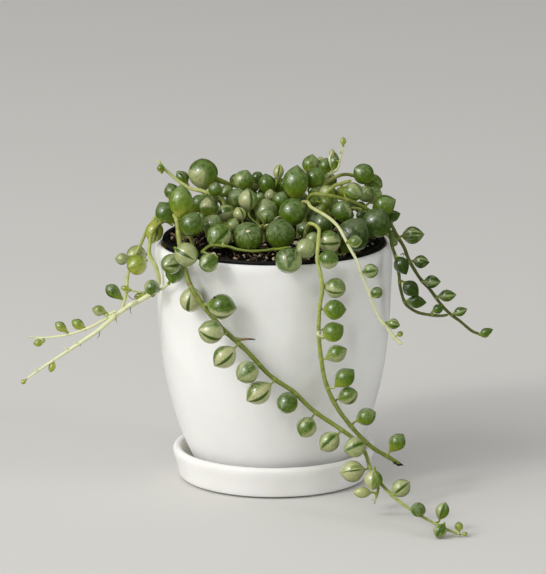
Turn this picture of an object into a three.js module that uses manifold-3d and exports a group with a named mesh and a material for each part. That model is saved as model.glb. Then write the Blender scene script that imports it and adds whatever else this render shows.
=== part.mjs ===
// A potted string of pearls: a variegated trailing succulent in a black nursery pot,
// which stands in a bulging white ceramic pot on a white saucer.
// Millimetres, +Z up, the viewer on the -Y side. The origin is the middle of the saucer's flat underside.
import * as THREE from 'three';
import { mergeVertices } from 'three/addons/utils/BufferGeometryUtils.js';
import Module from 'manifold-3d';

const wasm = await Module();
wasm.setup();

// Driving dimensions
const gap = 0.3; // clearance left between pieces that touch
const turnedSides = 30;

const saucer = {
  footRadius: 37.5,
  rimRadius: 43.3,
  rimTop: 13.9,
  lip: 2.9, // thickness of the rounded rim
  floor: 4,
  outside: [[40.1, 1.9], [41.8, 6.3]], // radius and height, from foot to rim
  inside: [[39.2, 8], [37, 4.9], [34.5, 4]], // from rim to floor
};
const pot = {
  foot: saucer.floor + gap,
  footRadius: 31.5,
  recess: 1.2, // height of the hollow inside the foot ring
  recessRadius: 26,
  floor: 8.3,
  drain: 6,
  shoulder: 98.8, // where the rim starts to round over
  rimRadius: 50.6,
  rimTop: 102.7,
  crestRadius: 48.7, // of the rim's highest line
  rimInner: 47.9,
  inside: [[47.6, 90], [46.4, 68], [43.4, 45], [37.6, 23.9], [31, 8.3]], // from rim to floor
};
const liner = {
  base: pot.floor + gap + 0.55, // one side of its tilted base comes this much lower
  baseRadius: 28.5,
  collar: 96, // where the wall steps out below the lip
  collarRadius: 44.2,
  bandRadius: 46,
  lipRadius: 47.4,
  lipInner: 45,
  lipThick: 1.3,
  top: 104.2,
  wall: 1.2,
  tilt: 0.8, // degrees: it stands a little askew, its left edge higher
  dip: 0.6, // and its front edge lower
  drains: 6,
  drainRadius: 4,
  drainInset: 7, // from the edge of the base to the middle of a drain
};
const soil = {
  top: 102.6, // at the edge
  mound: 1.2, // the middle is this much higher
  bump: 0.7,
  rings: 4,
};

// The bulging outside of the ceramic pot, radius and height from foot to shoulder
const bulge = [
  [pot.footRadius, pot.foot],
  [35.4, 10.7],
  [40.9, 23.9],
  [46.5, 45],
  [49.3, 68],
  [pot.rimRadius, pot.shoulder],
];

// The plant. A stem has its radius, its routes and its pearls. The first route, and any that starts
// with two numbers, stands in the soil there; the others fork off. A pearl is its middle and diameter.
const rootDepth = 7;
const stemSides = 4;
const stemStep = 6.5; // length of one straight piece of a stem
const largePearl = 8.3; // a pearl wider than this has a ring of points more
const longStalk = 1.7; // of the pearl's radius: from here on the stalk shows as a neck
const neckRadius = 0.5; // of the stalk between a stem and a pearl
const fineness = 0.04; // shorter edges than this, left where pieces join, are closed up
const plant = {
  front_left_stem: {
    radius: 0.9,
    routes: [
      [[-34, -14], [-37, -18, 112], [-41.5, -25, 119], [-40.5, -28, 117], [-39.5, -34, 109.5],
        [-38.5, -39, 104.5], [-37, -43, 100], [-34.5, -47.5, 93.5], [-30, -50, 87], [-21.5, -52.5, 77],
        [-11.5, -54.5, 68], [-1.5, -56, 57.5], [8, -57, 51], [16.5, -58, 43], [27, -59.5, 36],
        [34, -61, 31], [38, -63, 26], [40, -67, 20.5], [44.5, -73, 15.5], [50.5, -82, 11.5],
        [59, -90, 7.5], [68, -96, 4], [75.5, -98.5, 1.3]],
      [[41.5, -69, 18.5], [43, -72, 13.5], [42, -73, 9]],
    ],
    pearls: [
      [-43, -14, 127, 6.5], [-39, -27, 125.5, 10], [-35, -31, 116.5, 10], [-36, -50, 107, 10],
      [-34, -43.5, 87, 10], [-21.5, -56, 87, 10.5], [-26, -57, 76.5, 10], [-20.5, -58, 66, 9.5],
      [-11, -60, 60, 9.5], [-6.5, -59, 51, 10], [5.5, -60, 47, 9], [13.5, -60, 36.5, 8.5],
      [23, -61, 30.5, 8.5], [33.5, -68, 30, 8.5], [32.5, -67, 19.5, 9], [41, -77, 18.5, 7.5],
      [52, -80, 15.5, 7.5], [36.5, -73, 12, 4.5], [59, -94, 10.5, 6], [69, -92, 9.5, 5.5],
      [68, -99, 3.2, 5.5], [75.5, -98, 4.5, 3.5], [78, -98.5, 1.5, 1.8],
    ],
  },
  front_middle_stem: {
    radius: 0.9,
    routes: [
      [[12, -22], [13.5, -26, 113], [15, -34, 117.5], [18.5, -39, 116.5], [18.5, -44, 113.5],
        [18, -49, 108.5], [18, -52, 105], [19, -54, 101.5], [20, -55, 94], [19, -55, 87.5],
        [18.5, -54.5, 77.5], [19, -54, 69], [20.8, -53, 56.5], [23.4, -52, 48.5], [26.8, -51.5, 42],
        [31.2, -51, 35.8], [36.2, -51, 30], [41.7, -51, 25], [47.5, -51, 21.5], [53, -51, 18]],
    ],
    pearls: [
      [22.5, -54, 106.5, 8], [24, -55, 95, 8.5], [25, -55, 85.5, 8.5], [24.5, -55, 76, 8.5],
      [26, -54, 66.5, 7.5], [29.5, -53, 56, 8], [31, -52, 48, 7.5], [38.5, -50, 38.5, 7.5],
      [51.5, -50, 27.5, 7],
    ],
  },
  front_right_stem: {
    radius: 0.7,
    routes: [
      [[10, -2], [11, -3.5, 118.5], [14, -14, 122.5], [15.5, -24, 122.5], [20.5, -34, 121.5], [24, -39, 120],
        [27, -43, 117.5], [29.5, -46, 113.5], [32, -48, 109], [34.5, -49, 104.5], [36.5, -49, 99],
        [39, -48.5, 92.5], [43.5, -47, 80.5], [47, -46.5, 76], [50.5, -46, 71], [53.5, -46, 68.5]],
    ],
    pearls: [
      [33.5, -49, 113, 5], [40, -49, 100.5, 6], [42, -47.5, 91, 5], [49, -46, 77, 4.5],
      [52.5, -46, 73, 2.5],
    ],
  },
  right_outer_stem: {
    radius: 0.75,
    routes: [
      [[13, 5], [13.5, 1, 116], [15, -7, 123], [17, -14, 126], [21, -18, 126.5], [26, -18, 125.5],
        [31, -17, 124], [35.5, -16, 122], [39.5, -15, 119.5], [44.5, -13.5, 116.5], [49, -12.5, 113],
        [52, -14, 108], [55, -15, 103], [57, -16, 98], [61.5, -17, 90.5], [66, -18, 85.5],
        [70.5, -19, 79.5], [74.5, -20, 75.5], [78.5, -20, 72.5], [83.5, -21, 68.5], [87, -21, 67]],
    ],
    pearls: [
      [33.5, -12, 126.5, 8], [28.5, -23, 120.5, 8.5], [46.5, -6, 119.5, 9], [42, -24, 115, 12.5],
      [58.5, -13, 108, 7.5], [62, -15, 97, 5.5], [66.5, -20, 89.5, 5.5], [73, -18, 83, 5],
      [78.5, -20, 76.5, 4], [88.5, -21, 67.5, 3.5],
    ],
  },
  right_inner_stem: {
    radius: 0.75,
    routes: [
      [[34, -6], [39, -11, 110.5], [45.5, -15, 112], [48.5, -19, 111.5], [49.5, -23, 106],
        [51, -24.5, 101.5], [52.5, -25.5, 94], [53, -25.5, 89], [54.5, -25.5, 83], [56.5, -25.5, 80],
        [60.5, -25.5, 77.5], [65, -25.5, 76.5], [70, -25.5, 76], [73.5, -25.5, 76.5]],
    ],
    pearls: [
      [37, -8, 115.5, 4.5], [50.5, -2, 114, 5], [53, -28, 98.5, 6.5], [57.5, -25.5, 87.5, 6.5],
      [59, -25.5, 82, 5.5], [69, -25.5, 78.5, 4],
    ],
  },
  left_stems: {
    radius: 0.7,
    routes: [
      [[-36, 6], [-40, 5, 116], [-46.5, 3, 118], [-51, 0, 112], [-54.5, -2, 106.5], [-57, -3, 101],
        [-60, -4, 95.5], [-62, -6, 89.5], [-62.5, -9, 83.5], [-63.5, -14, 79], [-65, -19, 76],
        [-68.5, -19.5, 74.5], [-72, -18, 72.5], [-77.5, -16, 69], [-85, -15, 66], [-91, -14, 64.5],
        [-98.5, -13, 63.5], [-104, -13, 64]],
      [[-38, -3], [-43, -6, 113], [-48, -9, 112.5], [-51.5, -13, 109], [-52.5, -16, 104],
        [-52.5, -18, 101], [-51, -19, 98], [-49.5, -20, 95], [-48.5, -20, 90], [-50, -20, 86],
        [-53.5, -19.5, 83], [-58.5, -19, 80], [-65, -19, 76], [-74, -22, 69],
        [-80, -23, 65], [-85.5, -24, 61.5], [-91, -25, 58], [-98, -26, 53.5], [-104.5, -27, 49]],
      [[-52.5, -19.5, 84], [-47, -26.5, 88], [-44, -32.5, 91.5]],
      [[-62.5, -9, 83.5], [-58.5, -8, 82.5], [-55, -7, 82]],
    ],
    pearls: [
      [-45.8, -11.5, 117.5, 8.5], [-49.7, -8, 107.5, 7.5], [-58.5, 0, 97, 8.5], [-58, -12, 95, 8.5],
      [-64.5, -5, 96, 5], [-68.5, -9, 83, 5.5], [-63, -13, 85, 2.5], [-57, -7, 81, 3],
      [-74, -18, 76.5, 4.5], [-83, -14.5, 69, 4.5], [-90.5, -13.5, 68.5, 4], [-99.5, -13, 62.5, 3],
      [-42, -45, 103, 8.5], [-41, -36, 97, 8], [-51, -27, 88.5, 6.5], [-94, -25, 54, 3],
      [-105, -27, 48.5, 2],
    ],
  },
  left_back_spray: {
    radius: 0.75,
    routes: [
      [[-20, 4], [-21, 5, 114], [-22, 5, 119.5], [-29.5, 8, 122.5], [-35.5, 10, 123.5],
        [-40, 11, 126], [-45.5, 12, 130.5], [-47, 12, 132], [-49.5, 12, 135.5]],
    ],
    pearls: [
      [-31, 15, 129, 12.5], [-38.5, 17, 127, 5.5], [-47.5, 11, 132, 3], [-25, 3, 124.5, 6],
      [-31.5, -2, 119.5, 7.5], [-30, -8, 114.5, 5.5],
    ],
  },
  middle_back_spray: {
    radius: 0.8,
    routes: [
      [[-6, 10], [-8, 13, 115], [-9.5, 17, 120.5], [-14.5, 20, 122], [-19.5, 22, 123], [-26, 23, 124.5]],
      [[-8, 13, 115], [-2, 20, 117.5], [5, 23, 118]],
    ],
    pearls: [
      [-13, 15, 126, 8.5], [-16.5, 24, 124, 5.5], [-7.5, 24, 124, 5], [-20, 14, 121.5, 5.5],
      [-3, 18, 124, 7.5], [-15.5, 6, 120, 8.5], [2, 16, 129.5, 4.5], [-5.5, 8, 120, 4.5],
      [-1.5, 6, 121, 5], [4, 18, 124, 3.5], [-8.1, 25, 121.4, 6], [1.3, 25, 120.5, 6.5],
      [7.5, 24, 121, 6], [-16, 12, 117.5, 5.5],
    ],
  },
  right_back_spray: {
    radius: 0.75,
    routes: [
      [[12, 12], [14, 13, 116], [19.5, 13, 122.5], [21.5, 12, 127], [24.5, 11, 130], [27, 10, 132],
        [28.5, 10, 137], [29.5, 10, 142]],
      [[20.5, 13, 124.5], [26, 14, 127.5], [30.5, 16, 128.5], [35, 17, 127.5]],
    ],
    pearls: [
      [16, 20, 132, 7.5], [22, 17, 132, 6], [25.6, 12, 135.3, 4.4], [25, 12, 137.5, 2.5],
      [20, 25, 133, 3], [17, 6, 127, 8.5], [10, 3, 126.5, 11], [24, 20, 125, 6],
      [29.5, 10, 142.5, 2.5], [38.5, 14, 128.5, 8.8], [42, 18, 124.5, 7.7],
    ],
  },
  right_spray: {
    radius: 0.75,
    routes: [
      [[22, 2], [23, 0, 114], [21, -2, 121], [25, 1, 126], [28.5, 3, 127], [33, 5, 128]],
      [[23, 0, 114], [31, 5, 116], [38, 7, 115]],
    ],
    pearls: [
      [22, 5, 124, 7.5], [27.5, 5, 123, 4.5], [15.5, 2, 119, 6], [22, -5, 120.5, 5.5],
      [39, 1, 123, 7], [42.5, 12, 120.5, 7.5],
    ],
  },
  middle_spray: {
    radius: 0.8,
    routes: [
      [[-4, -8], [-5, -10, 110], [-6, -16, 112], [-8, -22, 110]],
      [[-5, -10, 110], [2, -8, 112], [8, -8, 113]],
      [[-5, -10, 110], [-2, -3, 110.5], [0, 2, 113]],
    ],
    pearls: [
      [-10.5, -6, 121.5, 8.5], [-3.5, -4, 116.5, 10], [-3, -15, 116.5, 6.5], [3.5, 2, 121.5, 7],
      [8, -11, 117, 11.5], [-10.5, -26, 110, 12.5],
    ],
  },
  left_front_spray: {
    radius: 0.8,
    routes: [
      [[-17, -9], [-19, -11, 110], [-21.5, -14, 111.5]],
      [[-19, -11, 110], [-14, -15, 112]],
    ],
    pearls: [
      [-28, -12, 120, 7], [-20.5, -8, 116.5, 7.5], [-14.5, -15, 117.5, 5.5], [-17, -21, 113.5, 6],
      [-26, -20, 114, 8.5],
    ],
  },
  soil_runner: {
    radius: 0.8,
    routes: [
      [[4, -33], [4, -35, 107], [0, -39, 107.5], [-8.5, -40, 107], [-15, -39, 107.5],
        [-19, -38, 108.5], [-26, -38, 109], [-30, -43, 107.5]],
    ],
    pearls: [[-28, -52, 105, 8], [6, -56, 106.5, 11], [-22, -32, 111.5, 10.5], [2.5, -30, 111.5, 12.5]],
  },
  right_front_spray: {
    radius: 0.8,
    routes: [
      [[24, -20], [25, -22, 108], [25, -28, 110], [22, -34, 109]],
      [[25, -22, 108], [19, -20, 109]],
    ],
    pearls: [
      [32.5, -33, 112, 14], [24, -39, 111.5, 9.5], [13.5, -45, 107.5, 8.5], [16.5, -31, 110, 6.5],
      [20.5, -22, 115, 8.5], [13, -20, 112, 6.5], [20, -12, 119, 4],
    ],
  },
};

// The far side of the plant follows a rule: a stem stands at its bearing, bends outward and, where it
// has a drop, hangs down behind the pot; its pearls sit left and right of it in turn.
const farStems = [
  { name: 'far_stem_1', bearing: 38, root: 31, reach: 46, drop: 26, pearls: 9, first: 8.5, last: 4 },
  { name: 'far_stem_2', bearing: 52, root: 23, reach: 41, drop: 0, pearls: 8, first: 9, last: 7 },
  { name: 'far_stem_3', bearing: 72, root: 27, reach: 46, drop: 46, pearls: 11, first: 9, last: 4 },
  { name: 'far_stem_4', bearing: 95, root: 18, reach: 41, drop: 0, pearls: 8, first: 9.5, last: 7.5 },
  { name: 'far_stem_5', bearing: 118, root: 26, reach: 47, drop: 34, pearls: 8, first: 9, last: 4 },
  { name: 'far_stem_6', bearing: 145, root: 23, reach: 42, drop: 0, pearls: 7, first: 9, last: 7 },
];
const far = {
  radius: 0.8,
  rise: 9, // of a stem's crest over the soil
  hang: 55, // distance of a hanging stem from the pot's axis
  bend: 10, // height it loses before it hangs straight
  firstAt: 0.2, // share of the stem below its first pearl
  lastAt: 0.98,
  stalk: 1.4, // longest
  unevenness: 0.3,
  seed: 7,
};

// Pearls are moved apart until they no longer press into each other, the stems, the soil or the pot.
const settling = {
  rounds: 40,
  kin: 1.05, // room a pearl needs, in radii, among the pearls of its own stem
  others: 1.07,
  air: 0.25,
  sample: 2.2, // distance between the points of a stem that push pearls away
};
// A ring that wraps the pot's rim and the nursery pot's lip
const guard = { radius: 48.5, height: 101.3, thick: 3.2 };

function solidOf(geometry) {
  geometry.deleteAttribute('normal');
  geometry.deleteAttribute('uv');
  const merged = mergeVertices(geometry, 1e-4);
  const corners = [];
  const index = merged.index.array;
  for (let i = 0; i < index.length; i += 3) {
    const [a, b, c] = index.slice(i, i + 3);
    if (a !== b && b !== c && c !== a) {
      corners.push(a, b, c);
    }
  }
  const vertProperties = new Float32Array(merged.attributes.position.array);
  return new wasm.Manifold(new wasm.Mesh({ numProp: 3, vertProperties, triVerts: new Uint32Array(corners) }));
}

function geometryOf(solid) {
  const mesh = solid.getMesh();
  const geometry = new THREE.BufferGeometry();
  geometry.setAttribute('position', new THREE.BufferAttribute(mesh.vertProperties, 3));
  geometry.setIndex(new THREE.BufferAttribute(mesh.triVerts, 1));
  geometry.computeVertexNormals();
  return geometry;
}

const root = new THREE.Group();

function addPiece(name, solid, color, roughness) {
  const material = new THREE.MeshStandardMaterial({ color, roughness, metalness: 0 });
  const mesh = new THREE.Mesh(geometryOf(solid), material);
  mesh.name = name;
  root.add(mesh);
}

// A solid turned about the upright axis from an outline of [radius, height], closed on itself or on the axis
function turned(outline, sides = turnedSides) {
  const points = outline.map(([radius, height]) => new THREE.Vector2(radius, height));
  return solidOf(new THREE.LatheGeometry(points, sides).rotateX(Math.PI / 2));
}

// Points on a quarter or half ellipse, degrees anticlockwise from straight outward
function ellipse(radius, height, wide, high, from, to, count) {
  return Array.from({ length: count }, (_, i) => {
    const angle = THREE.MathUtils.degToRad(from + ((to - from) * i) / (count - 1));
    return [radius + wide * Math.cos(angle), height + high * Math.sin(angle)];
  });
}

function makeSaucer() {
  const half = saucer.lip / 2;
  return turned([
    [0, 0],
    [saucer.footRadius, 0],
    ...saucer.outside,
    ...ellipse(saucer.rimRadius - half, saucer.rimTop - half, half, half, 0, 180, 5),
    ...saucer.inside,
    [0, saucer.floor],
  ]);
}

function makePot() {
  const spline = new THREE.SplineCurve(bulge.map(([radius, height]) => new THREE.Vector2(radius, height)));
  const outside = spline.getPoints(7).map((point) => [point.x, point.y]);
  const rounding = [pot.rimRadius - pot.crestRadius, pot.rimTop - pot.shoulder];
  return turned([
    [pot.drain, pot.foot + pot.recess],
    [pot.recessRadius, pot.foot + pot.recess],
    [pot.recessRadius + 1, pot.foot],
    ...outside,
    ...ellipse(pot.crestRadius, pot.shoulder, ...rounding, 30, 90, 3),
    [pot.rimInner, pot.rimTop - 0.8],
    ...pot.inside,
    [pot.drain, pot.floor],
    [pot.drain, pot.foot + pot.recess],
  ]);
}

// The nursery pot and the soil in it lean together, about the middle of the lip.
function lean(solid) {
  return solid.translate([0, 0, -liner.top]).rotate([liner.dip, liner.tilt, 0]).translate([0, 0, liner.top]);
}

function makeLiner() {
  const { base, baseRadius, collar, collarRadius, bandRadius } = liner;
  const { lipRadius, lipInner, lipThick, top, wall } = liner;
  let solid = turned([
    [0, base],
    [baseRadius, base],
    [collarRadius, collar],
    [bandRadius, collar + 1.5],
    [bandRadius, top - lipThick - 0.4],
    [lipRadius, top - lipThick],
    [lipRadius, top - 0.3],
    [lipRadius - 0.4, top],
    [lipInner, top],
    [bandRadius - wall, collar + 2],
    [collarRadius - wall, collar + 0.4],
    [baseRadius - wall, base + wall],
    [0, base + wall],
  ]);
  const { drains, drainRadius, drainInset } = liner;
  const out = baseRadius - drainInset;
  for (let i = 0; i < drains; i++) {
    const bore = new THREE.CylinderGeometry(drainRadius, drainRadius, 4 * wall, 8).rotateX(Math.PI / 2);
    const angle = (2 * Math.PI * i) / drains;
    bore.translate(out * Math.cos(angle), out * Math.sin(angle), base);
    solid = solid.subtract(solidOf(bore));
  }
  return solid;
}

// Uneven soil: rings of points over the surface, closed round the sides and below
function makeSoil(draw) {
  const edge = liner.bandRadius - liner.wall - gap;
  const bottom = liner.base + liner.wall + gap;
  const sides = [
    [edge, soil.top],
    [edge, liner.collar + 2.8],
    [liner.collarRadius - liner.wall - gap, liner.collar + 0.6],
    [liner.baseRadius - liner.wall - gap, bottom],
  ];
  const rings = [];
  for (let i = 1; i < soil.rings; i++) {
    const share = i / soil.rings;
    rings.push([edge * share, soil.top + soil.mound * (1 - share * share)]);
  }
  const vertices = [0, 0, soil.top + soil.mound];
  [...rings, ...sides].forEach(([radius, height], ring) => {
    for (let i = 0; i < turnedSides; i++) {
      const angle = (2 * Math.PI * (i + (ring < rings.length ? ring / 2 : 0))) / turnedSides;
      const rough = ring < rings.length ? soil.bump * (2 * draw() - 1) : 0;
      vertices.push(radius * Math.cos(angle), radius * Math.sin(angle), height + rough);
    }
  });
  vertices.push(0, 0, bottom);
  const last = vertices.length / 3 - 1;
  const loops = rings.length + sides.length;
  const at = (ring, i) => 1 + ring * turnedSides + (i % turnedSides);
  const faces = [];
  for (let i = 0; i < turnedSides; i++) {
    faces.push(0, at(0, i), at(0, i + 1));
    for (let ring = 0; ring < loops - 1; ring++) {
      faces.push(at(ring, i), at(ring + 1, i), at(ring + 1, i + 1));
      faces.push(at(ring, i), at(ring + 1, i + 1), at(ring, i + 1));
    }
    faces.push(at(loops - 1, i), last, at(loops - 1, i + 1));
  }
  const geometry = new THREE.BufferGeometry();
  geometry.setAttribute('position', new THREE.Float32BufferAttribute(vertices, 3));
  geometry.setIndex(faces);
  return solidOf(geometry);
}

// A plain upright hole in the soil for a rooted stem
function rootHole([x, y], radius) {
  const depth = rootDepth + gap;
  const clear = radius + 2 * gap;
  const bore = new THREE.CylinderGeometry(clear, clear, 2 * depth, 6).rotateX(Math.PI / 2);
  return solidOf(bore.translate(x, y, soil.top));
}

function isRooted(route) {
  return route[0].length === 2;
}

// The smooth curve through a route's points; a rooted one starts straight up out of its hole
function curveOf(route) {
  const points = isRooted(route)
    ? [-rootDepth, -2, 1.5].map((height) => [...route[0], soil.top + height]).concat(route.slice(1))
    : route;
  const vectors = points.map((point) => new THREE.Vector3(...point));
  return new THREE.CatmullRomCurve3(vectors, false, 'catmullrom', 0.5);
}

// Random numbers from 0 to 1 that are the same in every run
function makeDraw(seed) {
  let state = seed;
  return () => {
    state = (state * 1664525 + 1013904223) % 4294967296;
    return state / 4294967296;
  };
}

function farRoute({ bearing, root: from, reach, drop }) {
  const angle = THREE.MathUtils.degToRad(bearing);
  const at = (radius, height, turn = 0) => [
    radius * Math.cos(angle + turn),
    radius * Math.sin(angle + turn),
    height,
  ];
  const top = soil.top + far.rise;
  const low = top - far.bend - 6;
  const route = [at(from, 0).slice(0, 2), at(from + 2, top - 2, 0.05), at((from + reach) / 2, top + 1, 0.1)];
  route.push(at(reach, top - 1));
  if (drop > 0) {
    route.push(at(far.hang - 1.5, low + far.bend, -0.04), at(far.hang, low, -0.02));
    route.push(at(far.hang, low - drop / 2, 0.05), at(far.hang - 2, low - drop, 0.02));
  }
  return route;
}

// Pearls in turn left and right of a stem, smaller toward its tip
function farPearls(route, { pearls: count, first, last }, draw) {
  const curve = curveOf(route);
  const up = new THREE.Vector3(0, 0, 1);
  return Array.from({ length: count }, (_, i) => {
    const t = far.firstAt + ((far.lastAt - far.firstAt) * (i + 0.5)) / count;
    const along = curve.getTangent(t);
    const out = new THREE.Vector3(along.x, along.y, 0.0001).normalize();
    const side = new THREE.Vector3().crossVectors(out, up).normalize().multiplyScalar(i % 2 ? 1 : -1);
    const lift = i % 3 === 2 ? 1.5 : 0.25;
    const lean = side.addScaledVector(along.z < -0.6 ? out : up, lift).normalize();
    const size = (first + (last - first) * t) * (1 + far.unevenness * (draw() - 0.5));
    const middle = curve.getPoint(t).addScaledVector(lean, size / 2 + far.radius + far.stalk * draw());
    return [middle.x, middle.y, middle.z, size];
  });
}

function addFarStems() {
  const draw = makeDraw(far.seed);
  for (const stem of farStems) {
    const route = farRoute(stem);
    plant[stem.name] = { radius: far.radius, routes: [route], pearls: farPearls(route, stem, draw) };
  }
}

// Radius of the pot's outside at a height
function wallRadius(height) {
  for (let i = 1; i < bulge.length; i++) {
    const [[r0, z0], [r1, z1]] = [bulge[i - 1], bulge[i]];
    if (height <= z1) {
      return r0 + ((r1 - r0) * Math.max(0, height - z0)) / (z1 - z0);
    }
  }
  return pot.rimRadius;
}

// Moves a point out to a distance from a centre, if it is nearer
function pushFrom(pearl, x, y, z, distance) {
  const dx = pearl.x - x;
  const dy = pearl.y - y;
  const dz = pearl.z - z;
  const now = Math.sqrt(dx * dx + dy * dy + dz * dz) + 1e-9;
  if (now < distance) {
    const k = (distance - now) / now;
    pearl.x += dx * k;
    pearl.y += dy * k;
    pearl.z += dz * k;
  }
}

// Keeps a pearl out of the soil, off the lip and outside the pot's wall
function keepClear(pearl) {
  const span = Math.sqrt(pearl.x * pearl.x + pearl.y * pearl.y) + 1e-9;
  const size = pearl.r * settling.others + gap;
  if (pearl.z > pot.rimTop) {
    if (span < liner.lipInner) {
      pearl.z = Math.max(pearl.z, soil.top + soil.mound + size);
    }
    const ring = guard.radius / span;
    pushFrom(pearl, pearl.x * ring, pearl.y * ring, guard.height, size + guard.thick);
  } else {
    const least = wallRadius(pearl.z) + size;
    if (span < least) {
      pearl.x *= least / span;
      pearl.y *= least / span;
    }
    pearl.z = Math.max(pearl.z, size);
  }
}

function settle() {
  const pearls = [];
  const strands = [];
  for (const [name, { radius, routes, pearls: list }] of Object.entries(plant)) {
    for (const [x, y, z, size] of list) {
      pearls.push({ name, x, y, z, r: size / 2 });
    }
    for (const route of routes) {
      const curve = curveOf(route);
      const count = Math.round(curve.getLength() / settling.sample);
      for (const point of curve.getPoints(count)) {
        strands.push({ name, radius, point });
      }
    }
  }
  for (let round = 0; round < settling.rounds; round++) {
    pearls.forEach((a, i) => {
      for (const b of pearls.slice(i + 1)) {
        const kin = a.name === b.name;
        const apart = (a.r + b.r) * (kin ? settling.kin : settling.others) + (kin ? 0 : settling.air);
        const dx = b.x - a.x;
        const dy = b.y - a.y;
        const dz = b.z - a.z;
        const now = Math.sqrt(dx * dx + dy * dy + dz * dz) + 1e-9;
        if (now < apart) {
          const k = (0.5 * (apart - now)) / now;
          a.x -= dx * k;
          a.y -= dy * k;
          a.z -= dz * k;
          b.x += dx * k;
          b.y += dy * k;
          b.z += dz * k;
        }
      }
      for (const { name, radius, point } of strands) {
        const room = a.r * settling.others + radius + (name === a.name ? 0 : settling.air);
        pushFrom(a, point.x, point.y, point.z, room);
      }
      keepClear(a);
    });
  }
  return pearls;
}

function stepsOf(curve) {
  return Math.max(2, Math.round(curve.getLength() / stemStep));
}

// A stem of even thickness along a curve
function makeStrand(curve, radius) {
  const section = new THREE.Shape(
    Array.from({ length: stemSides }, (_, i) => {
      const angle = (2 * Math.PI * i) / stemSides;
      return new THREE.Vector2(radius * Math.cos(angle), radius * Math.sin(angle));
    }),
  );
  const options = { extrudePath: curve, steps: stepsOf(curve), bevelEnabled: false };
  return solidOf(new THREE.ExtrudeGeometry(section, options));
}

// The point of a stem's straight pieces that is nearest to another point
function nearestOn(strands, target) {
  const line = new THREE.Line3();
  const nearest = new THREE.Vector3();
  const best = new THREE.Vector3(Infinity, 0, 0);
  for (const points of strands) {
    for (let i = 1; i < points.length; i++) {
      line.set(points[i - 1], points[i]).closestPointToPoint(target, true, nearest);
      if (nearest.distanceTo(target) < best.distanceTo(target)) {
        best.copy(nearest);
      }
    }
  }
  return best;
}

// Draws every second corner of the first rings of a six-sided lathe back onto the one before it
function halveSides(corners, rings, count) {
  for (let side = 1; side < 6; side += 2) {
    for (let ring = 1; ring < count; ring++) {
      const kept = (side - 1) * rings + ring;
      corners.setXYZ(kept + rings, corners.getX(kept), corners.getY(kept), corners.getZ(kept));
    }
  }
}

// A pearl on its stalk: round, a little pointed at the far end, its stalk sunk in the stem
function makePearl({ x, y, z, r }, strands, radius) {
  const middle = new THREE.Vector3(x, y, z);
  const foot = nearestOn(strands, middle);
  const away = middle.clone().sub(foot);
  const reach = away.length();
  const full = 1.05 * r; // a few-sided ring this wide encloses what the round pearl does
  const neck = Math.min(neckRadius, 0.4 * r);
  const outline = [[0, -radius], [neck, 0.8 * radius]];
  if (reach > longStalk * r) {
    outline.push([neck, reach - 1.2 * r]);
  }
  const stalkRings = outline.length;
  if (2 * r > largePearl) {
    outline.push([0.72 * full, reach - 0.7 * r], [full, reach], [0.7 * full, reach + 0.72 * r]);
  } else {
    outline.push([0.88 * full, reach - 0.45 * r], [0.88 * full, reach + 0.5 * r]);
  }
  outline.push([0, reach + 1.2 * r]);
  const points = outline.map(([out, height]) => new THREE.Vector2(out, height));
  const geometry = new THREE.LatheGeometry(points, 6);
  halveSides(geometry.attributes.position, points.length, stalkRings);
  const turn = new THREE.Quaternion().setFromUnitVectors(new THREE.Vector3(0, 1, 0), away.normalize());
  geometry.applyQuaternion(turn).translate(foot.x, foot.y, foot.z);
  return solidOf(geometry);
}

function makeStem(name, pearls) {
  const { radius, routes } = plant[name];
  const curves = [];
  const strands = [];
  for (const route of routes) {
    const curve = curveOf(route);
    if (!isRooted(route)) {
      curve.points[0].copy(nearestOn(strands, curve.points[0])); // a fork starts on the stem
    }
    curves.push(curve);
    strands.push(curve.getSpacedPoints(stepsOf(curve)));
  }
  let solid = curves.map((curve) => makeStrand(curve, radius)).reduce((a, b) => a.add(b));
  for (const pearl of pearls) {
    solid = solid.add(makePearl(pearl, strands, radius));
  }
  return solid.simplify(fineness);
}

addFarStems();
addPiece('ceramic_saucer', makeSaucer(), '#e9e8e4', 0.55);
addPiece('ceramic_pot', makePot(), '#ecebe7', 0.6);
addPiece('nursery_liner', lean(makeLiner()), '#1b1b1c', 0.5);

let ground = lean(makeSoil(makeDraw(3)));
for (const { radius, routes } of Object.values(plant)) {
  for (const route of routes.filter(isRooted)) {
    ground = ground.subtract(rootHole(route[0], radius));
  }
}
addPiece('potting_mix', ground, '#2b211a', 1);

const settled = settle();
for (const name of Object.keys(plant)) {
  const own = settled.filter((pearl) => pearl.name === name);
  addPiece(name, makeStem(name, own), '#55792f', 0.4);
}

export default root;
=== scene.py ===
import math
import random
import re

import bpy
import numpy as np
from mathutils import Matrix, Vector


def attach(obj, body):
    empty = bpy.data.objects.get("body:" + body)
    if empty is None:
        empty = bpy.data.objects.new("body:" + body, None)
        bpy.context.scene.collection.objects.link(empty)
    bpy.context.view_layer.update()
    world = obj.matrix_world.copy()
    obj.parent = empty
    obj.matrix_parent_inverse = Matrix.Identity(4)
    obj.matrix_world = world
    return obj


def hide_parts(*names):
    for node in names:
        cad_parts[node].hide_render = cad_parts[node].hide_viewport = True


# A variegated string of pearls in a black nursery pot, which stands in a bulging white ceramic pot
# on a saucer. Sizes are noted in millimetres and scaled where a mesh is made.
mm = 0.001

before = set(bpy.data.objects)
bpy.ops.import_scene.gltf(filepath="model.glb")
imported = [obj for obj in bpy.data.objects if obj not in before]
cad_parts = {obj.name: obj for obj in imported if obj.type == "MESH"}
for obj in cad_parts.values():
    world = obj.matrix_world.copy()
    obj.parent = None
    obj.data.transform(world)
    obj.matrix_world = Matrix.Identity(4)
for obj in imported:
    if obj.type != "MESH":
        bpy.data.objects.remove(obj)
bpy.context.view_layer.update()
print("frame loaded:", len(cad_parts), "solids")


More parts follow.
